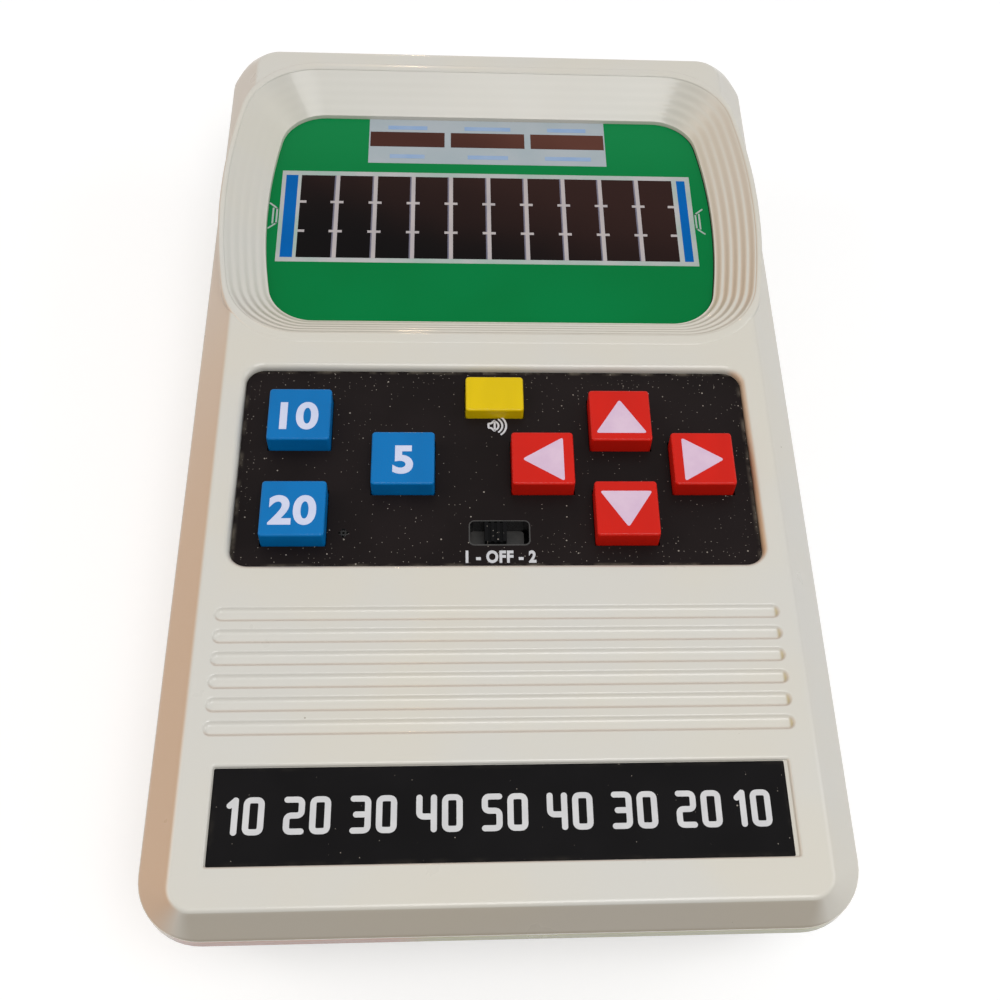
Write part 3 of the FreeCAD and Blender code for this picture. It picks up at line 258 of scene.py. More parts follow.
def ivory_plastic(name):
    """Aged glossy ivory plastic with stray specks. Its tones lie by place and facing:
    painted warm light on the left side, painted rosy shade on lips that face the head,
    painted shade on the bowl's head wall and on the foot wall, a painted pink and olive
    reflection in a band under the joint line, and yellowed dirt with a painted tan
    reflection in the flutes' right ends."""
    finish = Finish(name, Specular_IOR_Level=0.4, Coat_Roughness=0.06, Coat_Weight=0.3)
    cloud = finish.noise(26.0 * MM, 3.0)
    base = finish.mix(cloud.fade(0.35, 0.65), chosen("ivory"), chosen("ivory_cool"))
    place = finish.spot()
    across, along, up = (finish.axis(place, axis) for axis in "XYZ")
    leftward, headward = finish.facing("X") * -1.0, finish.facing("Y")
    outside = across.fade(-30.0 * MM, -36.0 * MM)
    outside = outside.calc("MAXIMUM", outside, along.fade(-29.5 * MM, -28.0 * MM))
    footward = along.fade(70.0 * MM, -30.0 * MM)
    # Painted warm light: the left-facing sides are tinted tan, more towards the foot and outside.
    left_warm_light = leftward.fade(0.2, 0.75) * (footward * 0.7 + 0.3) * (outside * 0.75 + 0.25)
    # Painted rosy shade on what faces the head, short of the head wall.
    rosy_shade = headward.fade(0.15, 0.6) * along.fade(71.0 * MM, 69.0 * MM)
    shaded = headward.fade(-0.25, -0.7) * along.fade(50.0 * MM, 62.0 * MM)
    foot = along.fade(-58.0 * MM, -60.0 * MM)
    # Painted shade: the steep foot wall is greyed.
    foot_shade = headward.fade(-0.8, -0.96) * foot
    # Painted reflection: a pink and olive band on the foot wall just under the joint line.
    band = up.fade(JOINT_Z + 0.02 * MM, JOINT_Z - 0.02 * MM) * headward.fade(-0.85, -0.96)
    band = band * foot * up.fade(JOINT_Z - 8.0 * MM, JOINT_Z - 4.0 * MM)
    pink, olive = srgb(196, 124, 96), srgb(178, 178, 108)
    reflected_band_tone = finish.mix(across.fade(-14.0 * MM, -8.0 * MM), pink, olive)
    # Yellowed dirt with a painted tan reflection in the flutes' right ends.
    flute_end = across.fade(36.25 * MM, 36.7 * MM) * across.fade(37.4 * MM, 37.2 * MM)
    flute_end = flute_end * up.fade(FACE_Z - 0.15 * MM, FACE_Z - 0.5 * MM)
    flute_end = flute_end * along.fade(0.0, -20.0 * MM) * along.fade(-56.0 * MM, -54.0 * MM)
    dirt = finish.specks(6.0 * MM, 0.16 * MM, 0.6)
    for mask, tone in ((left_warm_light, chosen("ivory_left_warm_light")), (rosy_shade * 0.7, chosen("ivory_rosy_shade")),
                       (shaded * 0.75, chosen("ivory_shaded")),
                       (foot_shade * 0.9, chosen("ivory_foot_shade")), (band, reflected_band_tone),
                       (flute_end * 0.75, srgb(172, 152, 96)), (dirt * 0.6, srgb(120, 105, 80))):
        base = finish.mix(mask, base, tone)
    finish.set("Base Color", base)
    finish.set("Roughness", 0.24 + finish.noise(9.0 * MM, 4.0) * 0.12)
    finish.bump(finish.noise(1.3 * MM, 2.0), 0.02 * MM, 0.35)
    return finish.material


def from_edge(finish, low, high):
    """The distance in from the nearest side of an upright box."""
    sides = []
    place = finish.spot()
    for name, near, far in (("X", low.x, high.x), ("Y", low.y, high.y)):
        at = finish.axis(place, name)
        sides += [at - near, far - at]
    nearest = sides[0]
    for side in sides[1:]:
        nearest = nearest.calc("MINIMUM", nearest, side)
    return nearest


def dusty_black(name, tone, roughness, dust, node):
    """Black plastic with fine pale dust, thicker in cloudy patches and along the edges."""
    finish = Finish(name, Specular_IOR_Level=0.06)
    colour = srgb(*tone)
    cloud = finish.noise(11.0 * MM, 3.0)
    rim = from_edge(finish, *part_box(node))
    gather = rim.fade(7.0 * MM, 1.0 * MM) * 0.5 + cloud * 0.5
    base = finish.mix(cloud.fade(0.3, 0.7), colour, tuple(1.35 * c for c in colour))
    for spacing, radius, share in ((1.9 * MM, 0.14 * MM, 0.5), (0.75 * MM, 0.075 * MM, 0.6)):
        motes = finish.specks(spacing, radius, gather * (share * dust), flat=True)
        base = finish.mix(motes * 0.85, base, srgb(164, 156, 146))
    fluff = rim.fade(0.7 * MM, 0.1 * MM) * finish.noise(2.6 * MM, 4.0).fade(0.42, 0.72)
    base = finish.mix(fluff * (0.55 * dust), base, srgb(120, 112, 100))
    finish.set("Base Color", base)
    finish.set("Roughness", roughness + cloud * 0.15)
    finish.bump(finish.noise(0.35 * MM, 2.0), 0.01 * MM, 0.3)
    return finish.material


def key_plastic(name):
    """Even moulded plastic with a faint flow variation and a satin skin."""
    finish = Finish(name, Specular_IOR_Level=0.12, Coat_Weight=0.12, Coat_Roughness=0.08)
    colour = chosen(name)
    flow = finish.noise(5.0 * MM, 2.0, (1.0, 0.4, 1.0)).fade(0.3, 0.7)
    finish.set("Base Color", finish.mix(flow, tuple(0.92 * c for c in colour), colour))
    finish.set("Roughness", 0.3 + finish.noise(1.5 * MM, 3.0) * 0.14)
    finish.bump(finish.noise(0.6 * MM, 2.0), 0.008 * MM, 0.4)
    return finish.material


def ink_and_shadow(name, first, second, patch=3.0):
    """Screen ink, slightly uneven in patches of this size in millimetres; it also colours the
    painted shadows at the window's edge and beside the yard lines.
    """
    finish = Finish(name, Specular_IOR_Level=0.05)
    cloud = finish.noise(patch * MM, 3.0)
    finish.set("Base Color", finish.mix(cloud.fade(0.3, 0.7), srgb(*first), srgb(*second)))
    finish.set("Roughness", 0.3 + finish.noise(2.0 * MM) * 0.12)
    return finish.material


def lens_green(name):
    """The green back print seen through clear glossy plastic, paler towards the top."""
    finish = Finish(name, Specular_IOR_Level=0.05)
    cloud = finish.noise(18.0 * MM).fade(0.3, 0.7)
    deep = finish.mix(cloud, chosen("lens_green"), chosen("lens_green_pale"))
    rise = finish.axis(finish.spot(), "Y").fade(LENS_Y, LENS_HI.y)
    finish.set("Base Color", finish.mix(rise * 0.8, deep, chosen("lens_green_top")))
    finish.set("Roughness", 0.16 + finish.noise(14.0 * MM) * 0.1)
    return finish.material


def smoked_window(name, dark, brown, low, high):
    """A clear window over the dark red filter: dark, and browner towards the top and right,
    from low to high in millimetres over the display's centre."""
    finish = Finish(name, Specular_IOR_Level=0.05)
    place = finish.spot()
    slope = finish.axis(place, "X") * 0.35 + finish.axis(place, "Y")
    cloud = (finish.noise(12.0 * MM) - 0.5) * (8.0 * MM)
    rise = (slope + cloud).fade(LENS_Y + low * MM, LENS_Y + high * MM)
    finish.set("Base Color", finish.mix(rise, srgb(*dark), srgb(*brown)))
    finish.set("Roughness", 0.18 + finish.noise(10.0 * MM) * 0.08)
    return finish.material


def circuit_green(name):
    """Solder mask over copper tracks."""
    finish = Finish(name, Roughness=0.4)
    place = finish.node("ShaderNodeMapping", {},
                        {"Vector": finish.spot(), "Scale": (1.0, 0.2, 1.0)})
    cells = finish.node("ShaderNodeTexVoronoi", {"feature": "DISTANCE_TO_EDGE"},
                        {"Vector": place, "Scale": 1.0 / (4.0 * MM)}, "Distance")
    tracks = cells.fade(0.12, 0.08)
    finish.set("Base Color", finish.mix(tracks, srgb(30, 92, 52), srgb(74, 128, 70)))
    finish.bump(tracks, 0.03 * MM)
    return finish.material


def brushed_metal(name, tone, roughness):
    """Plated metal with fine drawn lines and dull patches."""
    finish = Finish(name, Metallic=1.0)
    colour = srgb(*tone)
    lines = finish.noise(0.5 * MM, 4.0, (1.0, 12.0, 1.0))
    dull = finish.noise(4.0 * MM, 3.0)
    finish.set("Base Color", finish.mix(dull, colour, tuple(0.7 * c for c in colour)))
    finish.set("Roughness", roughness + lines * 0.2)
    finish.bump(lines, 0.01 * MM, 0.4)
    return finish.material


def plain_part(name, first, second, grain, roughness):
    """A moulded or wrapped inner part: two close tones, a grain in millimetres, a dull skin."""
    finish = Finish(name, Specular_IOR_Level=0.4)
    cloud = finish.noise(grain * MM, 3.0)
    finish.set("Base Color", finish.mix(cloud.fade(0.3, 0.7), srgb(*first), srgb(*second)))
    finish.set("Roughness", roughness + cloud * 0.2)
    finish.bump(finish.noise(grain * MM / 4.0), 0.02 * MM, 0.5)
    return finish.material


def resistor_bands(name):
    """Tan lacquer with coloured code bands across each body."""
    finish = Finish(name, Roughness=0.35)
    along = finish.axis(finish.spot(), "X")
    base = srgb(196, 160, 112)
    centre = middle(*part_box("resistors"))[0]
    for shift, band in ((-1.5, (120, 60, 20)), (-0.5, (20, 20, 20)), (0.5, (190, 40, 30)),
                        (1.6, (190, 150, 50))):
        gap = along - (centre + shift * MM)
        near = gap.calc("ABSOLUTE", gap)
        base = finish.mix(near.fade(0.26 * MM, 0.22 * MM), base, srgb(*band))
    finish.set("Base Color", base)
    return finish.material


# Each finish's maker and what it is given after the name, colours in screen values.
FINISHES = {
    "ivory_plastic": (ivory_plastic,),
    "panel_black": (dusty_black, (25, 20, 20), 0.34, 1.0, "key_panel"),
    "title_black": (dusty_black, (15, 14, 15), 0.36, 0.1, "title_plate"),
    "knob_black": (dusty_black, (14, 14, 15), 0.25, 0.6, "switch_knob"),
    "key_blue": (key_plastic,),
    "key_red": (key_plastic,),
    "key_yellow": (key_plastic,),
    "sign_lilac": (ink_and_shadow, (202, 210, 236), (212, 216, 238)),
    "arrow_pink": (ink_and_shadow, (214, 186, 210), (222, 196, 216)),
    "label_white": (ink_and_shadow, (196, 197, 201), (206, 206, 210)),
    "title_white": (ink_and_shadow, (204, 204, 206), (212, 212, 213)),
    "lens_print": (lens_green,),
    "line_white": (ink_and_shadow, (160, 180, 172), (186, 184, 186), 8.0),
    "yard_white": (ink_and_shadow, (176, 170, 172), (186, 178, 178), 8.0),
    # Painted shadow beside the yard lines.
    "yard_ghost": (ink_and_shadow, (104, 104, 122), (120, 116, 130)),
    "score_pale": (ink_and_shadow, (164, 176, 182), (172, 180, 186), 8.0),
    "score_blue": (ink_and_shadow, (142, 168, 204), (152, 174, 204)),
    "zone_blue": (ink_and_shadow, (0, 94, 170), (0, 98, 178), 6.0),
    "lens_shadow": (ink_and_shadow, (0, 34, 20), (0, 44, 28)),
    "field_dark": (smoked_window, (10, 7, 8), (48, 29, 26), -14.0, 14.0),
    "score_dark": (smoked_window, (72, 42, 36), (92, 56, 47), 14.0, 24.0),
    "filter_red": (plain_part, (60, 12, 14), (70, 16, 16), 6.0, 0.15),
    "mat_rubber": (plain_part, (120, 118, 116), (108, 106, 104), 4.0, 0.7),
    "board_green": (circuit_green,),
    "lamp_red": (plain_part, (150, 16, 20), (120, 12, 16), 1.0, 0.3),
    "digit_black": (plain_part, (30, 28, 28), (44, 20, 20), 2.0, 0.3),
    "chip_black": (plain_part, (30, 30, 32), (38, 38, 40), 3.0, 0.6),
    "capacitor_wrap": (plain_part, (30, 44, 96), (24, 36, 84), 3.0, 0.3),
    "resistor_tan": (resistor_bands,),
    "slot_black": (plain_part, (16, 15, 15), (26, 25, 25), 2.0, 0.15),
    # Also colours the painted highlight ring on the slot's rim.
    "slide_grey": (plain_part, (52, 51, 50), (64, 62, 60), 1.5, 0.3),
    "speaker_steel": (brushed_metal, (120, 120, 118), 0.4),
    "battery_wrap": (plain_part, (60, 62, 66), (74, 76, 80), 8.0, 0.35),
    "clip_black": (plain_part, (26, 26, 26), (34, 34, 34), 2.0, 0.5),
    "screw_steel": (brushed_metal, (150, 148, 142), 0.3),
}
MATERIALS = {}


def material(name):
    """One of the finishes, made when it is first asked for."""
    if name not in MATERIALS:
        maker, *values = FINISHES[name]
        MATERIALS[name] = maker(name, *values)
    return MATERIALS[name]


# The finishes of the solids that keep their own shape.
CAD_FINISHES = {
    "display_lens": "lens_print",
    "display_filter": "filter_red",
    "key_panel": "panel_black",
    "key_mat": "mat_rubber",
    "main_board": "board_green",
    "led_dashes": "lamp_red",
    "score_digits": "digit_black",
    "game_chip": "chip_black",
    "capacitors": "capacitor_wrap",
    "resistors": "resistor_tan",
    "switch_housing": "slot_black",
    "switch_knob": "knob_black",
    "speaker": "speaker_steel",
    "battery": "battery_wrap",
    "battery_clip": "clip_black",
    "battery_door": "ivory_plastic",
    "case_screws": "screw_steel",
    "board_screws": "screw_steel",
}


def quads(rows, columns, wrap_rows=False):
    """Faces of a grid whose columns close round, numbered row by row."""
    row = np.arange(rows if wrap_rows else rows - 1)[:, None]
    column = np.arange(columns)[None, :]
    beside = (column + 1) % columns
    above = (row + 1) % rows
    corners = (row * columns + column, row * columns + beside, above * columns + beside,
               above * columns + column)
    return np.stack(np.broadcast_arrays(*corners), -1).reshape(-1, 4)


def loft(rings, closed=False):
    """Points and faces through closed rings (rows, points, 3). The first and last ring get a
    flat cap, or with closed the last ring runs back to the first, as round a tube."""
    rows, columns = rings.shape[:2]
    faces = [tuple(face) for face in quads(rows, columns, closed).tolist()]
    if not closed:
        faces.append(tuple(range(columns - 1, -1, -1)))
        faces.append(tuple(range((rows - 1) * columns, rows * columns)))
    return rings.reshape(-1, 3), faces


def joined(parts):
    """Several (points, faces) as one."""
    points, faces, start = [], [], 0
    for part_points, part_faces in parts:
        points.append(part_points)
        faces += [tuple(index + start for index in face) for face in part_faces]
        start += len(part_points)
    return np.concatenate(points), faces


def corner_arcs(half_x, half_y, radius, per_corner):
    """The four corners of a rectangle, counter-clockwise: each one's centre plus radius times
    (cos, sin) over a quarter turn. Half sizes and radius may hold a value for each corner."""
    turn = np.linspace(0.0, math.pi / 2.0, per_corner + 1)
    angle = turn[None, :] + np.arange(4)[:, None] * math.pi / 2.0
    side_x, side_y = np.array([1, -1, -1, 1])[:, None], np.array([1, 1, -1, -1])[:, None]
    x = side_x * (half_x - radius) + radius * np.cos(angle)
    y = side_y * (half_y - radius) + radius * np.sin(angle)
    return np.stack([x, y], -1)


def rounded_outline(half_x, half_y, radius, per_corner=6):
    """A rectangle with round corners as one line."""
    return corner_arcs(half_x, half_y, radius, per_corner).reshape(-1, 2)


def raised(outline, z, centre=(0.0, 0.0)):
    """A flat outline lifted to a height, about a centre."""
    flat = outline + np.array(centre)
    return np.concatenate([flat, np.full((len(flat), 1), z)], -1)


def rounded_corners(points, radius, closed, per_corner=6):
    """A line through points with each corner cut by a curve: the corner is pulled back by
    radius along both its sides and bridged by a quadratic curve with the corner as control."""
    points = np.array(points, float)
    count = len(points)
    line = []
    step = np.linspace(0.0, 1.0, per_corner + 1)[:, None]
    for i in range(count):
        if not closed and i in (0, count - 1):
            line.append(points[i:i + 1])
            continue
        corner, before, after = points[i], points[i - 1], points[(i + 1) % count]
        back = (before - corner) / np.linalg.norm(before - corner)
        on = (after - corner) / np.linalg.norm(after - corner)
        a, b = corner + back * radius, corner + on * radius
        line.append((1 - step) ** 2 * a + 2 * step * (1 - step) * corner + step ** 2 * b)
    return np.concatenate(line)


def sideways(line, closed):
    """Unit vectors at right angles to a line, to its left, averaged at each point."""
    if closed:
        along = np.roll(line, -1, 0) - np.roll(line, 1, 0)
    else:
        along = np.gradient(line, axis=0)
    along = along / np.linalg.norm(along, axis=1, keepdims=True)
    return np.stack([-along[:, 1], along[:, 0]], -1)


def ribbon(points, width, radius, closed, z0, z1, per_end=6):
    """A flat stroke: four corners carried along a line, half the width to each side. At the
    ends of an open line the width shrinks with the cosine while the line runs on with the
    sine, which makes each end half a circle."""
    line = rounded_corners(points, radius, closed)
    left = sideways(line, closed)
    half = np.full((len(line), 1), width / 2.0)
    if not closed:
        turn = np.linspace(0.0, math.radians(86.0), per_end)[1:, None]
        ahead = np.stack([left[:, 1], -left[:, 0]], -1)
        reach = width / 2.0 * np.sin(turn)
        line = np.concatenate([(line[0] - reach * ahead[0])[::-1], line,
                               line[-1] + reach * ahead[-1]])
        ends = [np.repeat(left[i:i + 1], len(turn), 0) for i in (0, len(left) - 1)]
        left = np.concatenate([ends[0], left, ends[1]])
        narrow = width / 2.0 * np.cos(turn)
        half = np.concatenate([narrow[::-1], half, narrow])
    right_side, left_side = line - left * half, line + left * half
    corners = [raised(right_side, z0), raised(right_side, z1), raised(left_side, z1),
               raised(left_side, z0)]
    return loft(np.stack(corners, 1)[::-1], closed)


def lettering(text, x, y, height, width, stroke, spacing, z, thickness, space):
    """Signs in a row centred on (x, y): each is its strokes scaled from the grid of SIGNS. A
    1 takes no width of its own. Later strokes of a sign lie a little higher, so that no two
    faces fall together."""
    wide = [{"1": 0.0, " ": space}.get(sign, width) for sign in text]
    at = x - (sum(wide) + spacing * (len(text) - 1)) / 2.0
    rise = (height - stroke) / 2.0
    parts = []
    for sign, sign_width in zip(text, wide):
        start = at - (0.5 * width if sign == "1" else 0.0)
        for order, (closed, grid) in enumerate(SIGNS.get(sign, [])):
            place = np.array(grid, float) * [width, rise] + [start, y - rise]
            top = z + thickness * (1.0 + 0.1 * order)
            bend = min(0.8 * stroke, 0.45 * width)
            parts.append(ribbon(place, stroke, bend, closed, z, top))
        at += sign_width + spacing
    return joined(parts)


def merged(mesh, distance, outward=True):
    """Joins a mesh's points that lie within a distance, and turns its faces outward."""
    shape = bmesh.new()
    shape.from_mesh(mesh)
    bmesh.ops.remove_doubles(shape, verts=shape.verts, dist=distance)
    if outward:
        bmesh.ops.recalc_face_normals(shape, faces=shape.faces)
    shape.to_mesh(mesh)
    shape.free()
    return mesh


def typed(text, x, y, height, weight, z, thickness, width=None):
    """Signs in the plain built-in face, centred on (x, y), as points and faces: the outlines
    grown by the weight, then scaled to the height, and sideways to a width if there is one."""
    curve = bpy.data.curves.new("signs", "FONT")
    curve.body = text
    curve.offset = weight
    curve.extrude = 0.5
    curve.space_character = 1.0 + 2.2 * weight
    made = bpy.data.objects.new("signs", curve)
    mesh = merged(bpy.data.meshes.new_from_object(made), 0.01 * MM)
    points = np.array([point.co for point in mesh.vertices])
    faces = [tuple(face.vertices) for face in mesh.polygons]
    bpy.data.objects.remove(made)
    bpy.data.meshes.remove(mesh)
    low, high = points.min(0), points.max(0)
    scale = height / (high[1] - low[1])
    across = scale if width is None else width / (high[0] - low[0])
    points = (points - (low + high) / 2.0) * [across, scale, thickness]
    return points + [x, y, z + thickness / 2.0], faces


def tiles(rectangles, z0, z1):
    """Thin upright plates on rectangles (x0, x1, y0, y1)."""
    parts = []
    for x0, x1, y0, y1 in rectangles:
        outline = np.array([(x0, y0), (x1, y0), (x1, y1), (x0, y1)])
        parts.append(loft(np.stack([raised(outline, z0), raised(outline, z1)])))
    return joined(parts)


def soften(piece, angle):
    """Smooth shading with edges sharper than this kept, and flat faces kept flat."""
    mesh = piece.data
    mesh.polygons.foreach_set("use_smooth", np.ones(len(mesh.polygons), bool))
    mesh.set_sharp_from_angle(angle=math.radians(angle))
    weighted = piece.modifiers.new("even_faces", "WEIGHTED_NORMAL")
    weighted.keep_sharp = True
    weighted.weight = 90


def new_mesh(name, shape):
    """Points and faces as a mesh."""
    points, faces = shape
    mesh = bpy.data.meshes.new(name)
    mesh.from_pydata(points.tolist(), [], faces)
    return mesh


def add_piece(name, shape, finish, body="case", slot=None, angle=32.0):
    """A new object of points and faces that rides on a body."""
    mesh = new_mesh(name, shape)
    mesh.validate()
    return dress_piece(name, mesh, finish, body, slot, angle)


def dress_piece(name, mesh, finish, body, slot, angle):
    """Links a mesh as an object and gives it its finish and its body. Edges sharper than the
    angle stay sharp. The slot is not used."""
    piece = bpy.data.objects.new(name, mesh)
    bpy.context.scene.collection.objects.link(piece)
    mesh.materials.clear()
    mesh.materials.append(material(finish))
    soften(piece, angle)
    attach(piece, body)
    return piece


def joined_copy(node):
    """A copy of a node's mesh with its loose triangles joined, so that curves shade
    smoothly."""
    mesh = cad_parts[node].data.copy()
    for layer in ("custom_normal", "sharp_face", "sharp_edge"):
        if layer in mesh.attributes:
            mesh.attributes.remove(mesh.attributes[layer])
    return merged(mesh, 0.002 * MM, outward=False)


def bowed_outline(half_x, half_y, side_r, corner_r, per_side=12, per_corner=14, per_end=8):
    """The display's outline, one row for each set of sizes: straight foot and top, sides bowed
    on a large circle, corners on a small one that touches both. A quarter is worked out as
    centre plus radius times (cos, sin) and mirrored into the others."""
    side_x = half_x - side_r
    centre_y = half_y - corner_r
    centre_x = side_x + np.sqrt((side_r - corner_r) ** 2 - centre_y ** 2)
    turn = np.arctan2(centre_y, centre_x - side_x)
    along = turn * np.linspace(0.0, 1.0, per_side)[:-1]
    round_it = turn + (math.pi / 2.0 - turn) * np.linspace(0.0, 1.0, per_corner)
    inward = np.linspace(1.0, 0.0, per_end)[1:]
    x = np.concatenate([side_x + side_r * np.cos(along), centre_x + corner_r * np.cos(round_it),
                        centre_x * inward], 1)
    y = np.concatenate([side_r * np.sin(along), centre_y + corner_r * np.sin(round_it),
                        half_y + 0.0 * inward], 1)
    x = np.concatenate([x, -x[:, -2::-1], -x[:, 1:], x[:, -2:0:-1]], 1)
    y = np.concatenate([y, y[:, -2::-1], -y[:, 1:], -y[:, -2:0:-1]], 1)
    return np.stack([x, y], -1)


def bowl_rings(rows):
    """Rings round the display, one for each row of (share of the way from window to rim, extra
    width at the sides, extra width at the ends, height, dip or nothing). The dip grows from
    next to nothing at the bowl's head to its foot and right, where the moulding is crisper."""
    size = sizes()
    rows = [(*row, 0.0)[:5] for row in rows]
    share, side, end, z, dip = (np.array(values)[:, None] for values in zip(*rows))
    side_r = size.window_side_r + (size.rim_side_r - size.window_side_r) * share
    corner_r = size.window_corner_r + (size.rim_corner_r - size.window_corner_r) * share
    flat = bowed_outline(WINDOW_X + share * size.bowl_run_x + side,
                         WINDOW_Y + share * size.bowl_run_y + end, side_r + side, corner_r + side)
    lean = 0.75 - 0.7 * flat[..., 1] / WINDOW_Y + 0.4 * flat[..., 0] / WINDOW_X
    height = z - dip * np.clip(lean, 0.1, 1.7)
    return np.concatenate([flat + [LENS_X, LENS_Y], height[..., None]], -1)


def bowl_shape(size):
    """The bowl's wall as one closed band. From the window out to the rim its height is the
    rise times (u - depth * sin(2 pi u) / (2 pi)), where u counts the waves; then it goes half
    round over the crest, down the outside, and back a wall's thickness lower."""
    u = np.linspace(0.0, 1.0, 14 * size.bowl_waves + 1)
    turns = 2.0 * math.pi * size.bowl_waves
    foot, rim = JOINT_Z + size.bowl_cover, FACE_Z
    wall_z = foot + (rim - foot) * u
    swing = (rim - foot) * size.bowl_wave_depth * np.sin(turns * u) / turns
    over = np.linspace(0.0, math.pi, 17)[1:]
    crest = size.bowl_crest / 2.0
    far = np.clip(-np.cos(over), 0.0, 1.0)
    near = crest * (1.0 - np.clip(np.cos(over), 0.0, 1.0))
    top = FACE_Z + size.bowl_rise
    over_z = np.where(over < math.pi / 2.0, rim + (top - rim) * np.sin(over),
                      rim - size.bowl_rise + (top - rim + size.bowl_rise) * np.sin(over))
    window_z, joint_z = LENS_HI.z + size.ink, JOINT_Z + size.bowl_gap
    outside, inside = size.bowl_crest + size.bowl_flare, 0.5 * size.bowl_wall
    rows = [(0.0, -size.bowl_gap, -size.bowl_gap, window_z)]
    rows += [(share, 0.0, 0.0, z, dip) for share, z, dip in zip(u, wall_z, swing)]
    rows += [(1.0, a + crest * b, a + (size.bowl_band - crest) * b, z)
             for a, b, z in zip(near, far, over_z)]
    rows.append((1.0, outside, size.bowl_band, joint_z))
    rows.append((1.0, outside - size.bowl_wall, crest, joint_z))
    rows += [(share, 0.0, 0.0, foot + (rim - foot) * share - size.bowl_wall)
             for share in (1.0, 0.6, 0.3)]
    rows.append((0.0, inside, inside, window_z))
    return loft(bowl_rings(rows)[::-1], closed=True)


def case_rings(rows, per_corner=12, per_side=200, per_end=10):
    """Outlines of the case, one for each row of (inset at the sides, inset at the ends, foot
    radius, head radius, height, reach): round corners with points along the sides and ends
    between. Where the bowl is wider than the case, a point moves out to the bowl's outline
    plus the reach."""
    inset_x, inset_y, foot_r, head_r, z, reach = (
        np.array(values)[:, None, None] for values in zip(*rows))
    at_head = np.array([True, True, False, False])[:, None]
    arcs = corner_arcs(CASE_X - inset_x, CASE_Y - inset_y, np.where(at_head, head_r, foot_r),
                       per_corner)
    parts = []
    for i, count in enumerate((per_end, per_side, per_end, per_side)):
        start, end = arcs[:, i, -1:], arcs[:, (i + 1) % 4, :1]
        step = np.linspace(0.0, 1.0, count + 2)[1:-1, None]
        parts += [arcs[:, i], start + (end - start) * step]
    flat = np.concatenate(parts, 1)
    rim = bowl_rings([(1.0, 0.0, 0.0, 0.0)])[0]
    rim = rim[(rim[:, 0] > LENS_X) & (rim[:, 1] >= LENS_Y)]
    rim = rim[np.argsort(rim[:, 1], kind="stable")]
    wide = np.interp(np.abs(flat[..., 1] - LENS_Y), rim[:, 1] - LENS_Y, rim[:, 0], right=-1.0)
    wide = np.maximum(np.abs(flat[..., 0]), wide + reach[:, 0])
    flat[..., 0] = np.sign(flat[..., 0]) * wide
    return np.concatenate([flat, np.broadcast_to(z, flat.shape[:2] + (1,))], -1)


def hole_rings(lo, hi, corner, rows, per_corner=10):
    """Round-cornered outlines grown from a box in plan, one for each (growth, height)."""
    centre, (wide, high) = middle(lo, hi), halves(lo, hi)
    return np.stack([
        raised(rounded_outline(wide + grow, high + grow, corner + grow, per_corner), z, centre)
        for grow, z in rows])


def lip_rows(radius, end=math.pi / 2.0, steps=6):
    """Growth and height of a round lip that leads from the face down a wall: radius times
    (1 - sin) and the face less radius times (1 - cos), up to the end's angle."""
    turn = np.linspace(0.0, end, steps + 1)
    return [(radius * (1.0 - math.sin(t)), FACE_Z - radius * (1.0 - math.cos(t))) for t in turn]


def strip(rings):
    """Points and faces through rings, without caps."""
    return rings.reshape(-1, 3), [tuple(face) for face in quads(*rings.shape[:2]).tolist()]


def pit(rings):
    """Points and faces down to a flat floor in the last ring."""
    points, faces = strip(rings)
    return points, faces + [tuple(range(len(points) - rings.shape[1], len(points)))]


def plate(loops):
    """A flat plate between an outline and its holes, in triangles."""
    flat = [[Vector(point / MM) for point in loop] for loop in loops]
    return np.concatenate(loops), [tuple(face) for face in tessellate_polygon(flat)]


def skirt_rings(size):
    """The front shell's outside from the face down to the joint line, then its inside up to
    the face's underside. The face's edge is a quadratic curve from the face to the slant."""
    rise = FACE_Z - JOINT_Z
    slants = (size.face_side_slant, size.face_end_slant)

    def row(level, insets, wall, z, reach):
        """One outline for case_rings(), its corners between the joint's and the face's."""
        foot_r = size.case_foot_r + (size.face_foot_r - size.case_foot_r) * level - wall
        head_r = size.case_head_r + (size.face_head_r - size.case_head_r) * level - wall
        head_r -= size.shoulder * math.sin(math.pi * level)
        return (insets[0], insets[1], foot_r, head_r, z, reach)

    rows = []
    edge = size.face_edge / rise
    for t in np.linspace(1.0, 0.0, 7):
        drop = size.face_edge * (1.0 - t) ** 2
        level = 1.0 - drop / rise
        insets = [(1.0 - t) ** 2 * slant * (1.0 - edge) + 2.0 * t * (1.0 - t) * slant
                  + t * t * (slant + math.hypot(slant / rise, 1.0) * size.face_edge)
                  for slant in slants]
        rows.append(row(level, insets, insets[1] - slants[1] * level, FACE_Z - drop,
                        size.bowl_hide))
    for level in np.linspace(1.0 - edge, 0.03, 12)[1:]:
        rows.append(row(level, [slant * level for slant in slants], 0.0, JOINT_Z + level * rise,
                        size.bowl_hide))
    rows.append(row(0.0, (size.seam, size.seam), size.seam, JOINT_Z, size.bowl_hide))
    for z in (JOINT_Z, FACE_Z - size.shell_wall):
        level = (z - JOINT_Z) / rise
        insets = [slant * level + size.shell_wall * math.hypot(1.0, slant / rise)
                  for slant in slants]
        rows.append(row(level, insets, size.shell_wall, z, size.bowl_hide / 3.0))
    return case_rings(rows)


def recess_rings(size):
    """The key recess: a round lip, a wall, and a ledge that carries the panel."""
    floor, ledge = PANEL_LO.z, size.panel_ledge
    below, under = floor - size.panel_floor, FACE_Z - size.shell_wall
    grow = Vector((size.panel_gap, size.panel_gap, 0.0))
    return hole_rings(PANEL_LO - grow, PANEL_HI + grow, size.panel_corner,
                      lip_rows(size.panel_lip) + [(0.0, floor), (-ledge, floor), (-ledge, below),
                                                  (ledge, below), (ledge, under)])


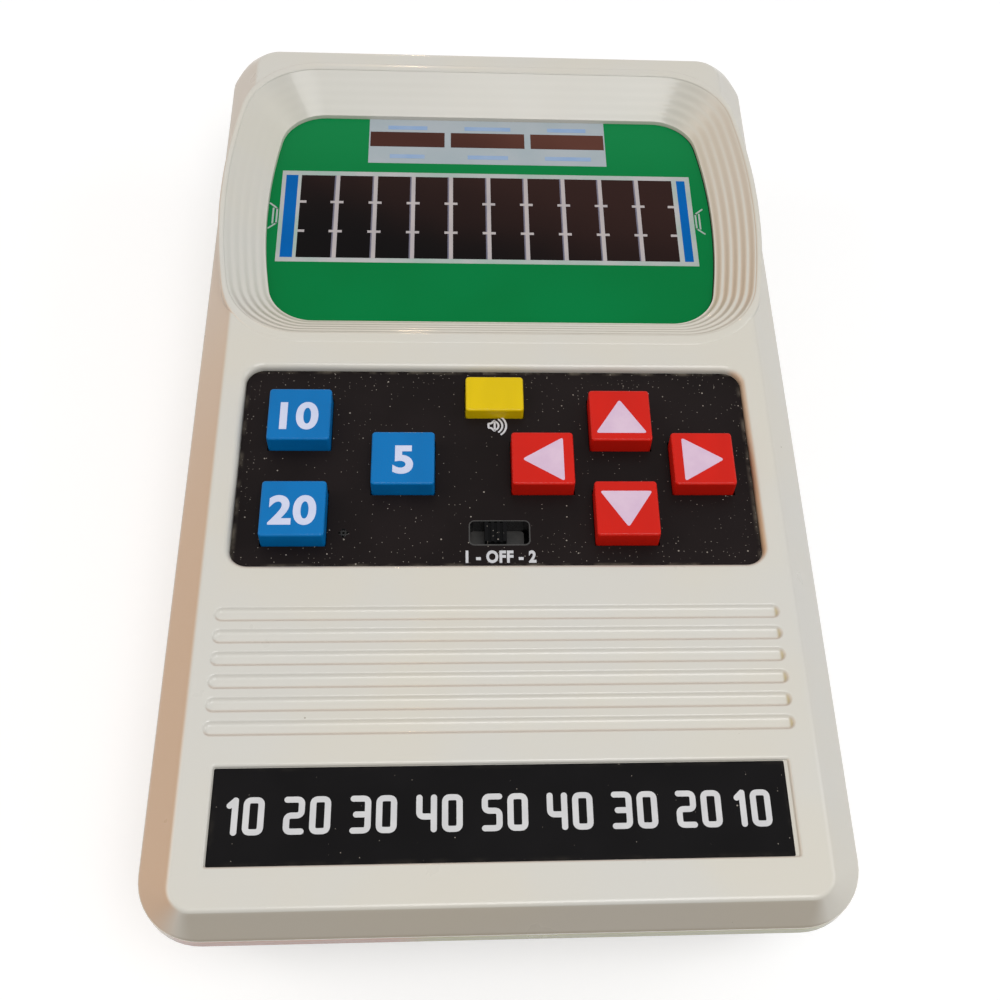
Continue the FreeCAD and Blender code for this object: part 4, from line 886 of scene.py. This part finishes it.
def tray_rings(size):
    """The foot bar's tray: a round lip down to a low shelf, and the bed of the bar in it."""
    shelf = TITLE_HI.z - 0.04 * MM
    bed = 0.02 * MM
    bar_lo = TITLE_LO - Vector((size.title_gap, 0.0, 0.0))
    return np.concatenate([
        hole_rings(bar_lo - Vector((size.tray_gap, size.tray_gap, 0.0)),
                   TITLE_HI + Vector((size.tray_side_gap, size.tray_gap, 0.0)), 0.25 * MM,
                   lip_rows(size.tray_lip) + [(0.0, shelf)]),
        hole_rings(bar_lo, TITLE_HI, 0.22 * MM, [(bed, shelf), (bed, TITLE_LO.z)])])


def flute_rings(size):
    """Each flute's rings. It turns over a round lip to a steep wall, and from there its depth
    at a share u of the way in is its full depth times 1 - (1 - u)^4, with the depth that
    carries on the wall's slope."""
    half = size.flute_width / 2.0 - 0.5 * size.flute_lip
    steep = math.radians(60.0)
    trough = lip_rows(size.flute_lip, steep)
    start, top = trough[-1]
    depth = math.tan(steep) * (half + start) / 4.0
    for u in np.linspace(0.0, 0.97, 15)[1:]:
        trough.append((start - (half + start) * u, top - depth * (1.0 - (1.0 - u) ** 4)))
    for i in range(size.flute_count):
        y = PANEL_LO.y - size.panel_to_flute - half - i * size.flute_pitch
        yield hole_rings((-size.flute_reach, y - half), (size.flute_reach, y + half), half, trough)


def front_shape(size):
    """The front shell, closed: its face, skirt and inside, with the bowl's hole, the key
    recess, the foot bar's tray and the flutes."""
    skirt, recess, tray = skirt_rings(size), recess_rings(size), tray_rings(size)
    bowl = bowl_rings([(1.0, 0.66 * size.bowl_hide, size.bowl_hide, FACE_Z),
                       (1.0, 0.0, 0.0, FACE_Z - size.shell_wall)])
    flutes = list(flute_rings(size))
    parts = [strip(rings) for rings in (skirt, bowl, recess)]
    parts += [pit(rings) for rings in [tray] + flutes]
    parts.append(plate([rings[0] for rings in [skirt, bowl, recess, tray] + flutes]))
    parts.append(plate([rings[-1] for rings in (skirt, bowl, recess)]))
    return joined(parts)


def stacked(lo, hi, rows):
    """Round-cornered rectangles on a box's centre, one for each (half width, half length,
    corner radius, height), as one solid."""
    return loft(np.stack([raised(rounded_outline(x, y, r), z, middle(lo, hi))
                          for x, y, r, z in rows]))


def turned_edge(half_x, half_y, corner, top, edge, steps):
    """Rows for stacked() that turn a top edge over by a quarter circle."""
    for turn in np.linspace(0.0, math.pi / 2.0, steps):
        inset = edge * (1.0 - math.cos(turn))
        yield (half_x - inset, half_y - inset, max(corner - inset, 0.05 * MM),
               top - edge + edge * math.sin(turn))


def plate_shape(lo, hi, corner, edge):
    """A thin plate with its top edge turned over."""
    wide, high = halves(lo, hi)
    return stacked(lo, hi, [(wide, high, corner, lo.z),
                            *turned_edge(wide, high, corner, hi.z, edge, 4)])


def key_shape(lo, hi, size):
    """A key from its stem up, through its flange to the cap with its top edge turned over."""
    wide, high = halves(lo, hi)
    cap_x, cap_y = (half - size.key_flange + size.key_fill for half in (wide, high))
    stem, corner = size.key_stem, size.key_corner
    under = lo.z + size.key_stem_length
    over = under + size.key_flange_t
    return stacked(lo, hi, [
        (stem, stem, stem * 0.99, lo.z), (stem, stem, stem * 0.99, under),
        (wide, high, corner, under), (wide, high, corner, over), (cap_x, cap_y, corner, over),
        *turned_edge(cap_x, cap_y, corner, hi.z, size.key_edge, 7)])


def arrow_shape(lo, hi, turn, size):
    """A triangle with soft corners on a key's top, pointing at an angle in degrees."""
    centre = np.array(middle(lo, hi)) - [0.0, 0.25 * MM]
    angle = math.radians(turn)
    ahead = np.array([math.cos(angle), math.sin(angle)])
    left = np.array([-ahead[1], ahead[0]])
    tip, side = ahead * size.arrow_height / 2.0, left * size.arrow_base / 2.0
    points = [centre + tip, centre - tip + side, centre - tip - side]
    outline = rounded_corners(points, 0.5 * MM, True)
    return loft(np.stack([raised(outline, z) for z in (hi.z - size.ink, hi.z + size.ink)]))


def length(name, description, millimetres):
    """A length property, its default given in millimetres."""
    return FloatProperty(name=name, description=description, default=millimetres * MM,
                         unit="LENGTH", precision=5)


class GameSizes(PropertyGroup):
    """Sizes of the pieces that are modelled here."""

    ink: length("Ink", "Thickness of printed signs", 0.02)
    key_corner: length("Key Corner", "Radius of a key's upright edges", 0.5)
    key_edge: length("Key Edge", "Radius of a key's top edge", 0.34)
    key_fill: length("Key Fill", "How far a cap fills the gap round it", 0.08)
    key_flange: length("Key Flange", "Reach of the flange under a key's cap", 1.1)
    key_flange_t: length("Flange Thickness", "Thickness of a key's flange", 1.2)
    key_stem: length("Key Stem", "Radius of the stem under a key", 1.9)
    key_stem_length: length("Stem Length", "Length of the stem under a key", 2.4)
    numeral_height: length("Numeral Height", "Height of a key's numeral", 4.7)
    numeral_weight: FloatProperty(
        name="Numeral Weight", description="How bold the keys' numerals are", default=0.035)
    arrow_height: length("Arrow Height", "Tip to base of a key's triangle", 5.8)
    arrow_base: length("Arrow Base", "Base of a key's triangle", 7.3)
    title_height: length("Foot Numeral Height", "Height of the bar's numerals", 4.7)
    title_stroke: length("Foot Numeral Stroke", "Stroke of the bar's numerals", 0.75)
    title_gap: length("Foot Bar Growth", "How far the bar goes on to the left", 0.25)
    bowl_waves: IntProperty(
        name="Bowl Waves", description="Soft steps in the bowl's wall", default=5)
    bowl_wave_depth: FloatProperty(
        name="Wave Depth", description="How far the wall's slope swings", default=0.5)
    bowl_run_x: length("Bowl Side Run", "Width of the wall at the sides", 5.8)
    bowl_run_y: length("Bowl End Run", "Width of the wall at top and foot", 6.0)
    bowl_crest: length("Rim Crest", "Width of the rim at the sides", 0.98)
    bowl_band: length("Rim Band", "Width of the rim at top and foot", 1.95)
    bowl_flare: length("Rim Flare", "Lean of the rim's outside", 0.45)
    bowl_rise: length("Rim Rise", "Height of the rim over the face", 0.23)
    bowl_cover: length("Bowl Cover", "Thickness of the wall's skin at its foot", 0.14)
    bowl_gap: length("Bowl Gap", "Gap at the joint and at the window's edge", 0.03)
    bowl_wall: length("Bowl Wall", "Thickness of the bowl's wall", 0.9)
    bowl_hide: length("Shell Reach", "How far the shell goes under the rim", 0.9)
    window_side_r: length("Window Side Radius", "Radius of the window's bowed sides", 100.0)
    window_corner_r: length("Window Corner", "Radius of the window's corners", 7.2)
    rim_side_r: length("Rim Side Radius", "Radius of the rim's bowed sides", 110.0)
    rim_corner_r: length("Rim Corner", "Radius of the rim's corners", 11.5)
    shell_wall: length("Shell Wall", "Thickness of the case's wall", 1.8)
    face_side_slant: length("Side Slant", "How far the sides lean in up to the face", 4.45)
    face_end_slant: length("End Slant", "How far the ends lean in up to the face", 2.3)
    case_foot_r: length("Foot Corner", "Radius of the case's foot corners", 8.0)
    case_head_r: length("Head Corner", "Radius of the case's head corners", 6.5)
    face_foot_r: length("Face Foot Corner", "Radius of the face's foot corners", 2.9)
    face_head_r: length("Face Head Corner", "Radius of the face's head corners", 3.8)
    shoulder: length("Shoulder", "How much fuller the head corners are half way up", 1.6)
    face_edge: length("Face Edge", "Height of the rounded edge of the face", 0.42)
    seam: length("Seam", "Size of the small step at the joint line", 0.08)
    panel_gap: length("Panel Gap", "Gap round the key panel", 0.1)
    panel_corner: length("Panel Corner", "Radius of the recess's corners", 2.6)
    panel_lip: length("Panel Lip", "Radius of the recess's lip", 0.9)
    panel_ledge: length("Panel Ledge", "Width of the ledge under the panel", 1.5)
    panel_floor: length("Ledge Thickness", "Thickness of the ledge", 1.6)
    tray_gap: length("Tray Gap", "Gap round the foot bar", 0.06)
    tray_side_gap: length("Tray Side Gap", "Gap at the foot bar's right end", 0.5)
    tray_lip: length("Tray Lip", "Radius of the tray's lip", 0.45)
    panel_to_flute: length("Panel To Flutes", "From the panel to the first flute", 6.6)
    flute_count: IntProperty(name="Flutes", description="Number of flutes", default=6)
    flute_pitch: length("Flute Pitch", "From one flute to the next", 3.15)
    flute_width: length("Flute Width", "Width of a flute", 2.05)
    flute_reach: length("Flute Reach", "Half the length of a flute", 36.9)
    flute_lip: length("Flute Lip", "Radius of a flute's lip", 0.32)
    slot_corner: length("Slot Corner", "Radius of the switch slot's corners", 0.6)
    slot_foot: length("Slot Foot", "Height of the foot of the slot's lining", 26.4)
    slot_wall: length("Slot Wall", "Thickness of the switch slot's lining", 0.35)
    yard_line: length("Yard Line", "Width of the field's lines", 0.64)


def tint(name, description, value):
    """A colour property in linear light."""
    return FloatVectorProperty(name=name, description=description, subtype="COLOR", size=3,
                               min=0.0, max=1.0, default=value)


class GameColours(PropertyGroup):
    """Colours of the main finishes."""

    ivory: tint("Ivory", "The case's plastic", srgb(212, 208, 197))
    ivory_cool: tint("Cool Ivory", "Paler patches in the case's plastic", srgb(210, 208, 201))
    # Painted rosy shade where the case faces the head.
    ivory_rosy_shade: tint("Rosy Ivory", "The case where it faces the head", srgb(202, 188, 176))
    ivory_shaded: tint("Shaded Ivory", "The bowl's head wall", srgb(186, 183, 174))
    # Painted shade on the case's foot wall.
    ivory_foot_shade: tint("Greyed Ivory", "The case's foot wall", srgb(166, 153, 132))
    # Painted warm light on the case's left-facing sides.
    ivory_left_warm_light: tint("Sunned Ivory", "The case where light has aged it", srgb(204, 169, 136))
    lens_green: tint("Lens Green", "The display's print", srgb(0, 117, 58))
    lens_green_pale: tint(
        "Pale Lens Green", "Paler patches in the display's print", srgb(0, 121, 62))
    # The print's paler tone towards the top.
    lens_green_top: tint(
        "Hazy Lens Green", "The print under the haze at the top", srgb(16, 132, 72))
    key_blue: tint("Key Blue", "The blue keys", srgb(0, 114, 184))
    key_red: tint("Key Red", "The red keys", srgb(210, 28, 14))
    key_yellow: tint("Key Yellow", "The yellow key", srgb(226, 194, 4))


class GAME_OT_shells(Operator):
    """Smooth copies of the front and rear shells"""

    bl_idname = "game.shells"
    bl_label = "Shells"

    def execute(self, context):
        front = merged(new_mesh("front_shell", front_shape(sizes())), 0.001 * MM)
        for name, mesh, node in (("front_shell", front, "front_case"),
                                 ("rear_shell", joined_copy("rear_case"), "rear_case")):
            shell = dress_piece(name, mesh, "ivory_plastic", "case", "ivory_plastic", 38.0)
            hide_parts(node)
        return {"FINISHED"}


class GAME_OT_bowl(Operator):
    """The bowl round the display: soft waves and a raised rim"""

    bl_idname = "game.bowl"
    bl_label = "Bowl"

    def execute(self, context):
        add_piece("display_bowl", bowl_shape(sizes()), "ivory_plastic", "case", "ivory_plastic",
                  60.0)
        return {"FINISHED"}


class GAME_OT_cad_finishes(Operator):
    """Finishes of the parts that keep their own shape"""

    bl_idname = "game.cad_finishes"
    bl_label = "Part Finishes"

    def execute(self, context):
        for node, finish in CAD_FINISHES.items():
            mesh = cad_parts[node].data
            for i in range(len(mesh.materials)):
                mesh.materials[i] = material(finish)
            if not mesh.materials:
                mesh.materials.append(material(finish))
        return {"FINISHED"}


class GAME_OT_keys(Operator):
    """The eight keys, with their numerals and triangles"""

    bl_idname = "game.keys"
    bl_label = "Keys"

    def execute(self, context):
        size = sizes()
        for node, (body, finish, top) in KEYS.items():
            lo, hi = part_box(node)
            cap = add_piece(node.replace("key_", "cap_"), key_shape(lo, hi, size), finish, body,
                            finish)
            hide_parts(node)
            if isinstance(top, float):
                add_piece(node.replace("key_", "arrow_"), arrow_shape(lo, hi, top, size),
                          "arrow_pink", body)
            elif top:
                x, y = middle(lo, hi)
                sign = typed(top, x, y - 0.4 * MM, size.numeral_height, size.numeral_weight, hi.z,
                             size.ink)
                add_piece(node.replace("key_", "numeral_"), sign, "sign_lilac", body)
        return {"FINISHED"}


class GAME_OT_display(Operator):
    """The display's print: field, end zones, goals and score windows"""

    bl_idname = "game.display"
    bl_label = "Display Print"

    def execute(self, context):
        self.field()
        self.yards()
        self.lens_shadow()
        self.goals()
        self.scores()
        return {"FINISHED"}

    def lay(self, name, rectangles, finish, under=0.0, thick=1.0):
        """Rectangles printed on the display, with so many layers of ink under them and in
        them."""
        low = LENS_HI.z + under * sizes().ink
        add_piece(name, tiles(rectangles, low, low + thick * sizes().ink), finish)

    def field(self):
        """The dark window, the two end zones and the frame round them."""
        left, right, foot, head = FIELD
        frame_left, frame_right, frame_foot, frame_head = FIELD_FRAME
        self.lay("field_window", [FIELD], "field_dark")
        self.lay("end_zones", [(x0, x1, foot, head) for x0, x1 in END_ZONES], "zone_blue")
        rails = [(frame_left, frame_right, frame_foot, foot),
                 (frame_left, frame_right, head, frame_head)]
        (zone_0, zone_1), (zone_2, zone_3) = END_ZONES
        rails += [(x0, x1, foot, head) for x0, x1 in (
            (frame_left, zone_0), (zone_1, left), (right, zone_2), (zone_3, frame_right))]
        self.lay("field_frame", rails, "line_white")

    def yards(self):
        """Nine yard lines with two rows of short dashes, and a painted shadow beside each line."""
        left, right, foot, head = FIELD
        half = sizes().yard_line / 2.0
        dash, thin, shadow_width = 1.05 * MM, 0.25 * MM, 0.22 * MM
        centres = [YARD_CENTRE + i * YARD_PITCH for i in range(-4, 5)]
        lines = [(x - half, x + half, foot, head) for x in centres]
        # Painted shadows: a thin darker strip beside each yard line.
        line_shadows = [(x - half - shadow_width, x - half, foot, head) for x in centres]
        spans = [span for x in centres for span in ((x - dash, x - half), (x + half, x + dash))]
        spans += [(left, left + dash), (right - dash, right)]
        lines += [(x0, x1, y - thin, y + thin) for y in DASH_ROWS for x0, x1 in spans]
        self.lay("yard_lines", lines, "yard_white", 1.0)
        self.lay("yard_ghosts", line_shadows, "yard_ghost", 1.0, 0.6)

    def lens_shadow(self):
        """A painted shadow at the window's right and foot: the window's outline, and the same
        outline moved up and to the left as the shadow's inner edge."""
        size = sizes()
        grow = np.array([[0.05 * MM], [0.0]])
        radii = (radius + 0.0 * grow for radius in (size.window_side_r, size.window_corner_r))
        outer, inner = bowed_outline(WINDOW_X + grow, WINDOW_Y + grow, *radii)
        outer = outer + (LENS_X, LENS_Y)
        inner = inner + (LENS_X - 0.2 * MM, LENS_Y + 0.05 * MM)
        inner = np.minimum(inner, outer - 0.01 * MM)
        low, high = LENS_HI.z, LENS_HI.z + size.ink
        rings = [raised(outer, low), raised(outer, high), raised(inner, high), raised(inner, low)]
        add_piece("lens_shadow", loft(np.stack(rings), closed=True), "lens_shadow")

    def goals(self):
        """A goal at each end: two bars, with an arm slanting out from each end of the nearer."""
        gap, step, thin = 0.35 * MM, 0.6 * MM, 0.28 * MM
        y, bar, arm = LENS_Y - 0.2 * MM, 1.6 * MM, 2.7 * MM
        parts = []
        for side, edge in ((-1.0, FIELD_FRAME[0]), (1.0, FIELD_FRAME[1])):
            near = edge + side * gap
            far, out = near + side * step, near + 2.0 * side * step
            for points in ([(near, y - bar), (near, y + bar)], [(far, y - bar), (far, y + bar)],
                           [(near, y - bar), (out, y - arm)], [(near, y + bar), (out, y + arm)]):
                parts.append(ribbon(points, thin, thin, False, LENS_HI.z,
                                    LENS_HI.z + sizes().ink))
        add_piece("goal_marks", joined(parts), "line_white")

    def scores(self):
        """The pale block at the top with its three dark windows and plain caption bars."""
        half, width, gap, thin = 19.95 * MM, 12.45 * MM, 1.05 * MM, 0.45 * MM
        block = (YARD_CENTRE - half, YARD_CENTRE + half, LENS_Y + 12.0 * MM,
                 LENS_HI.y - LENS_LAND)
        self.lay("score_block", [block], "score_pale")
        foot, head = LENS_Y + 15.85 * MM, LENS_Y + 19.3 * MM
        windows, bars = [], []
        for i in (-1, 0, 1):
            x = YARD_CENTRE + i * (width + gap)
            windows.append((x - width / 2.0, x + width / 2.0, foot, head))
            for level, reach in ((20.35, 3.9 - 0.6 * i * i), (13.6, 3.4 + 0.5 * i)):
                y, wide = LENS_Y + level * MM, reach * MM
                bars.append((x - wide, x + wide, y - thin, y + thin))
        self.lay("score_windows", windows, "score_dark", 1.0)
        self.lay("score_captions", bars, "score_blue", 1.0)


class GAME_OT_labels(Operator):
    """Switch positions, sound sign and the numerals on the bar at the foot"""

    bl_idname = "game.labels"
    bl_label = "Labels"

    def execute(self, context):
        size = sizes()
        x, y = 0.18 * MM, PANEL_LO.y + 1.55 * MM
        height, width, weight = 1.95 * MM, 9.55 * MM, 0.045
        switch = typed("1 - OFF - 2", x, y, height, weight, PANEL_Z, size.ink, width)
        add_piece("switch_label", switch, "label_white")
        bar_lo = TITLE_LO - Vector((size.title_gap, 0.0, 0.0))
        corner, edge = 0.2 * MM, 0.08 * MM
        bar = add_piece("title_bar", plate_shape(bar_lo, TITLE_HI, corner, edge), "title_black",
                        "case", "title_black")
        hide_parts("title_plate")
        digit, spacing, space = 1.75 * MM, 1.35 * MM, 0.35 * MM
        numbers = lettering("10 20 30 40 50 40 30 20 10", *middle(TITLE_LO, TITLE_HI),
                            size.title_height, digit, size.title_stroke, spacing, TITLE_HI.z,
                            size.ink, space)
        add_piece("foot_numerals", numbers, "title_white")
        self.sound_sign(size)
        self.slot(size)
        self.dimple()
        return {"FINISHED"}

    def slot(self, size):
        """The black lining of the switch's slot, from the panel down to the switch, a grey ring on
        its rim as a painted highlight, and the slide that moves under the knob."""
        edge = 0.04 * MM
        top, foot, wall = PANEL_Z + edge, size.slot_foot, size.slot_wall
        deep, crown = top - 1.2 * MM, top + 0.01 * MM
        lining = [(0.0, foot), (wall, foot), (wall, deep), (edge, deep), (edge, top), (0.0, top)]
        rings = hole_rings(SLOT_LO, SLOT_HI, size.slot_corner, lining, 6)
        add_piece("slot_lining", loft(rings, closed=True), "slot_black")
        # A pale grey ring on the slot's rim: a painted highlight.
        rim = [(edge, PANEL_Z), (edge, crown), (0.15 * MM, crown), (0.2 * MM, PANEL_Z)]
        rings = hole_rings(SLOT_LO, SLOT_HI, size.slot_corner, rim, 6)
        add_piece("slot_rim", loft(rings[::-1], closed=True), "slide_grey")
        reach = Vector((4.0, 1.9, 0.0)) * MM
        centre = (SLOT_LO + SLOT_HI) / 2.0 - Vector((0.55, 0.0, 0.0)) * MM
        slide = hole_rings(centre - reach, centre + reach, size.slot_corner,
                           [(0.0, foot - 0.8 * MM), (0.0, foot - 0.2 * MM)], 6)
        add_piece("switch_slide", loft(slide), "slide_grey", "knob")

    def dimple(self):
        """A small round moulding mark on the panel: a low ring."""
        top = PANEL_Z + 0.03 * MM
        ring = hole_rings(MARK_AT, MARK_AT, 0.65 * MM, [
            (0.0, PANEL_Z), (0.0, top), (-0.16 * MM, top), (-0.2 * MM, PANEL_Z)])
        add_piece("panel_mark", loft(ring, closed=True), "slot_black")

    def sound_sign(self, size):
        """A small loudspeaker sign: a cone in outline and three waves."""
        lo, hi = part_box("key_yellow")
        x, y = middle(lo, hi)[0], lo.y + size.key_flange - 1.45 * MM
        unit, top = 0.55 * MM, PANEL_Z + size.ink
        cone = [(-1.6, -0.7), (-0.9, -0.7), (0.0, -1.7), (0.0, 1.7), (-0.9, 0.7), (-1.6, 0.7)]
        cone = [(x + u * unit, y + v * unit) for u, v in cone]
        parts = [ribbon(cone, 0.3 * MM, 0.15 * MM, True, PANEL_Z, top)]
        turn = np.linspace(-0.9, 0.9, 9)
        for reach in (1.5, 2.5, 3.5):
            wave = np.stack([x + unit * (reach * np.cos(turn) - 0.5),
                             y + unit * reach * np.sin(turn)], -1)
            parts.append(ribbon(wave, 0.28 * MM, 0.02 * MM, False, PANEL_Z, top))
        add_piece("sound_sign", joined(parts), "label_white")


class GAME_OT_stage(Operator):
    """Floor, soft lights, world and the camera"""

    bl_idname = "game.stage"
    bl_label = "Stage"

    def execute(self, context):
        self.floor()
        self.world()
        self.lamp("main_light", (0.08, -0.27, 0.62), 0.35, 1.9)
        self.lamp("right_light", (0.6, 0.0, 0.36), 0.4, 0.9)
        self.lamp("left_light", (-0.55, 0.0, 0.36), 0.4, 0.9, (1.0, 0.93, 0.85))
        self.lamp("small_warm_light", (-0.045, 0.95, 0.45), 0.03, 0.3, (1.0, 0.72, 0.45))
        self.camera()
        context.scene.view_settings.view_transform = "Standard"
        return {"FINISHED"}

    def floor(self):
        """A wide floor: white to the camera, a warm grey to the object's own light."""
        half = 3.0
        outline = np.array([(-half, -half), (half, -half), (half, half), (-half, half)])
        mesh = new_mesh("floor", (raised(outline, 0.0), [(0, 1, 2, 3)]))
        floor = bpy.data.objects.new("floor", mesh)
        bpy.context.scene.collection.objects.link(floor)
        finish = Finish("floor", Roughness=0.9, Specular_IOR_Level=0.0, Emission_Strength=1.0)
        seen = seen_directly(finish)
        finish.set("Base Color", finish.mix(seen, srgb(96, 78, 60), (0.72, 0.72, 0.72)))
        finish.set("Emission Color", finish.mix(seen, (0.0, 0.0, 0.0), (0.4, 0.4, 0.4)))
        mesh.materials.append(finish.material)

    def world(self):
        """A soft sky that lights the object, dimmer beyond its foot, and plain white where it
        is seen."""
        world = bpy.data.worlds.new("studio")
        bpy.context.scene.world = world
        world.use_nodes = True
        tree = world.node_tree
        tree.nodes.clear()
        finish = Finish("studio", tree)
        seen = seen_directly(finish)
        heading = finish.axis(finish.node("ShaderNodeTexCoord", {}, {}, "Generated"), "Y")
        level = seen + (1.0 - seen) * (0.43 - heading.fade(-0.45, -0.95) * 0.25)
        sky = finish.node("ShaderNodeBackground", {},
                          {"Color": (1.0, 1.0, 1.0, 1.0), "Strength": level})
        finish.node("ShaderNodeOutputWorld", {}, {"Surface": sky})

    def lamp(self, name, place, size, power, colour=(1.0, 1.0, 1.0)):
        """A square soft light that looks at the object's middle."""
        data = bpy.data.lights.new(name, "AREA")
        data.shape = "SQUARE"
        data.size = size
        data.energy = power
        data.color = colour
        lamp = bpy.data.objects.new(name, data)
        lamp.location = place
        aim = Vector((0.0, 0.0, 0.02)) - Vector(place)
        lamp.rotation_euler = aim.to_track_quat("-Z", "Y").to_euler()
        bpy.context.scene.collection.objects.link(lamp)

    def camera(self):
        """The photograph's viewpoint: its place, three angles, focal length and centre."""
        place = Vector((-5.961, -117.089, 190.168)) * MM
        rise, turn, roll = (math.radians(angle) for angle in (57.9395, 7.7646, 6.57))
        pixels, frame_px = 1370.6, 1000.0
        centre_u, centre_v = 554.02, 502.21
        ahead = Vector((math.sin(turn) * math.cos(rise), math.cos(turn) * math.cos(rise),
                        -math.sin(rise)))
        level = Vector((math.cos(turn), -math.sin(turn), 0.0))
        up = level.cross(ahead)
        right, up = (math.cos(roll) * level + math.sin(roll) * up,
                     -math.sin(roll) * level + math.cos(roll) * up)
        data = bpy.data.cameras.new("camera")
        data.sensor_width = 36.0
        data.lens = pixels / frame_px * data.sensor_width
        data.shift_x = -(centre_u - frame_px / 2.0) / frame_px
        data.shift_y = (centre_v - frame_px / 2.0) / frame_px
        data.clip_start = 0.01
        camera = bpy.data.objects.new("camera", data)
        axes = Matrix((right, up, -ahead)).transposed()
        camera.matrix_world = Matrix.Translation(place) @ axes.to_4x4()
        bpy.context.scene.collection.objects.link(camera)
        bpy.context.scene.camera = camera


def seen_directly(finish):
    """1 for what the camera, a reflection or clear plastic shows, 0 for light that lands."""
    rays = [finish.node("ShaderNodeLightPath", {}, {}, name)
            for name in ("Is Camera Ray", "Is Glossy Ray", "Is Transmission Ray")]
    either = rays[0].calc("MAXIMUM", rays[0], rays[1])
    return either.calc("MAXIMUM", either, rays[2])


class GAME_PT_panel(Panel):
    """Builds each group of pieces"""

    bl_idname = "GAME_PT_panel"
    bl_label = "Football Game"
    bl_space_type = "VIEW_3D"
    bl_region_type = "UI"
    bl_category = "Game"

    def draw(self, context):
        for step in STEPS:
            self.layout.operator(step.bl_idname)


STEPS = (GAME_OT_stage, GAME_OT_shells, GAME_OT_bowl, GAME_OT_cad_finishes, GAME_OT_keys,
         GAME_OT_display, GAME_OT_labels)
CLASSES = (GameSizes, GameColours) + STEPS + (GAME_PT_panel,)


def register():
    """Makes the classes and properties known."""
    for kind in CLASSES:
        bpy.utils.register_class(kind)
    bpy.types.Scene.game_sizes = PointerProperty(type=GameSizes)
    bpy.types.Scene.game_colours = PointerProperty(type=GameColours)


def unregister():
    """Takes the classes and properties away again."""
    del bpy.types.Scene.game_colours
    del bpy.types.Scene.game_sizes
    for kind in reversed(CLASSES):
        bpy.utils.unregister_class(kind)


def main():
    """Builds everything."""
    register()
    for step in STEPS:
        group, name = step.bl_idname.split(".")
        if getattr(getattr(bpy.ops, group), name)() != {"FINISHED"}:
            raise RuntimeError(step.bl_label + " did not finish")


if __name__ == "__main__":
    main()
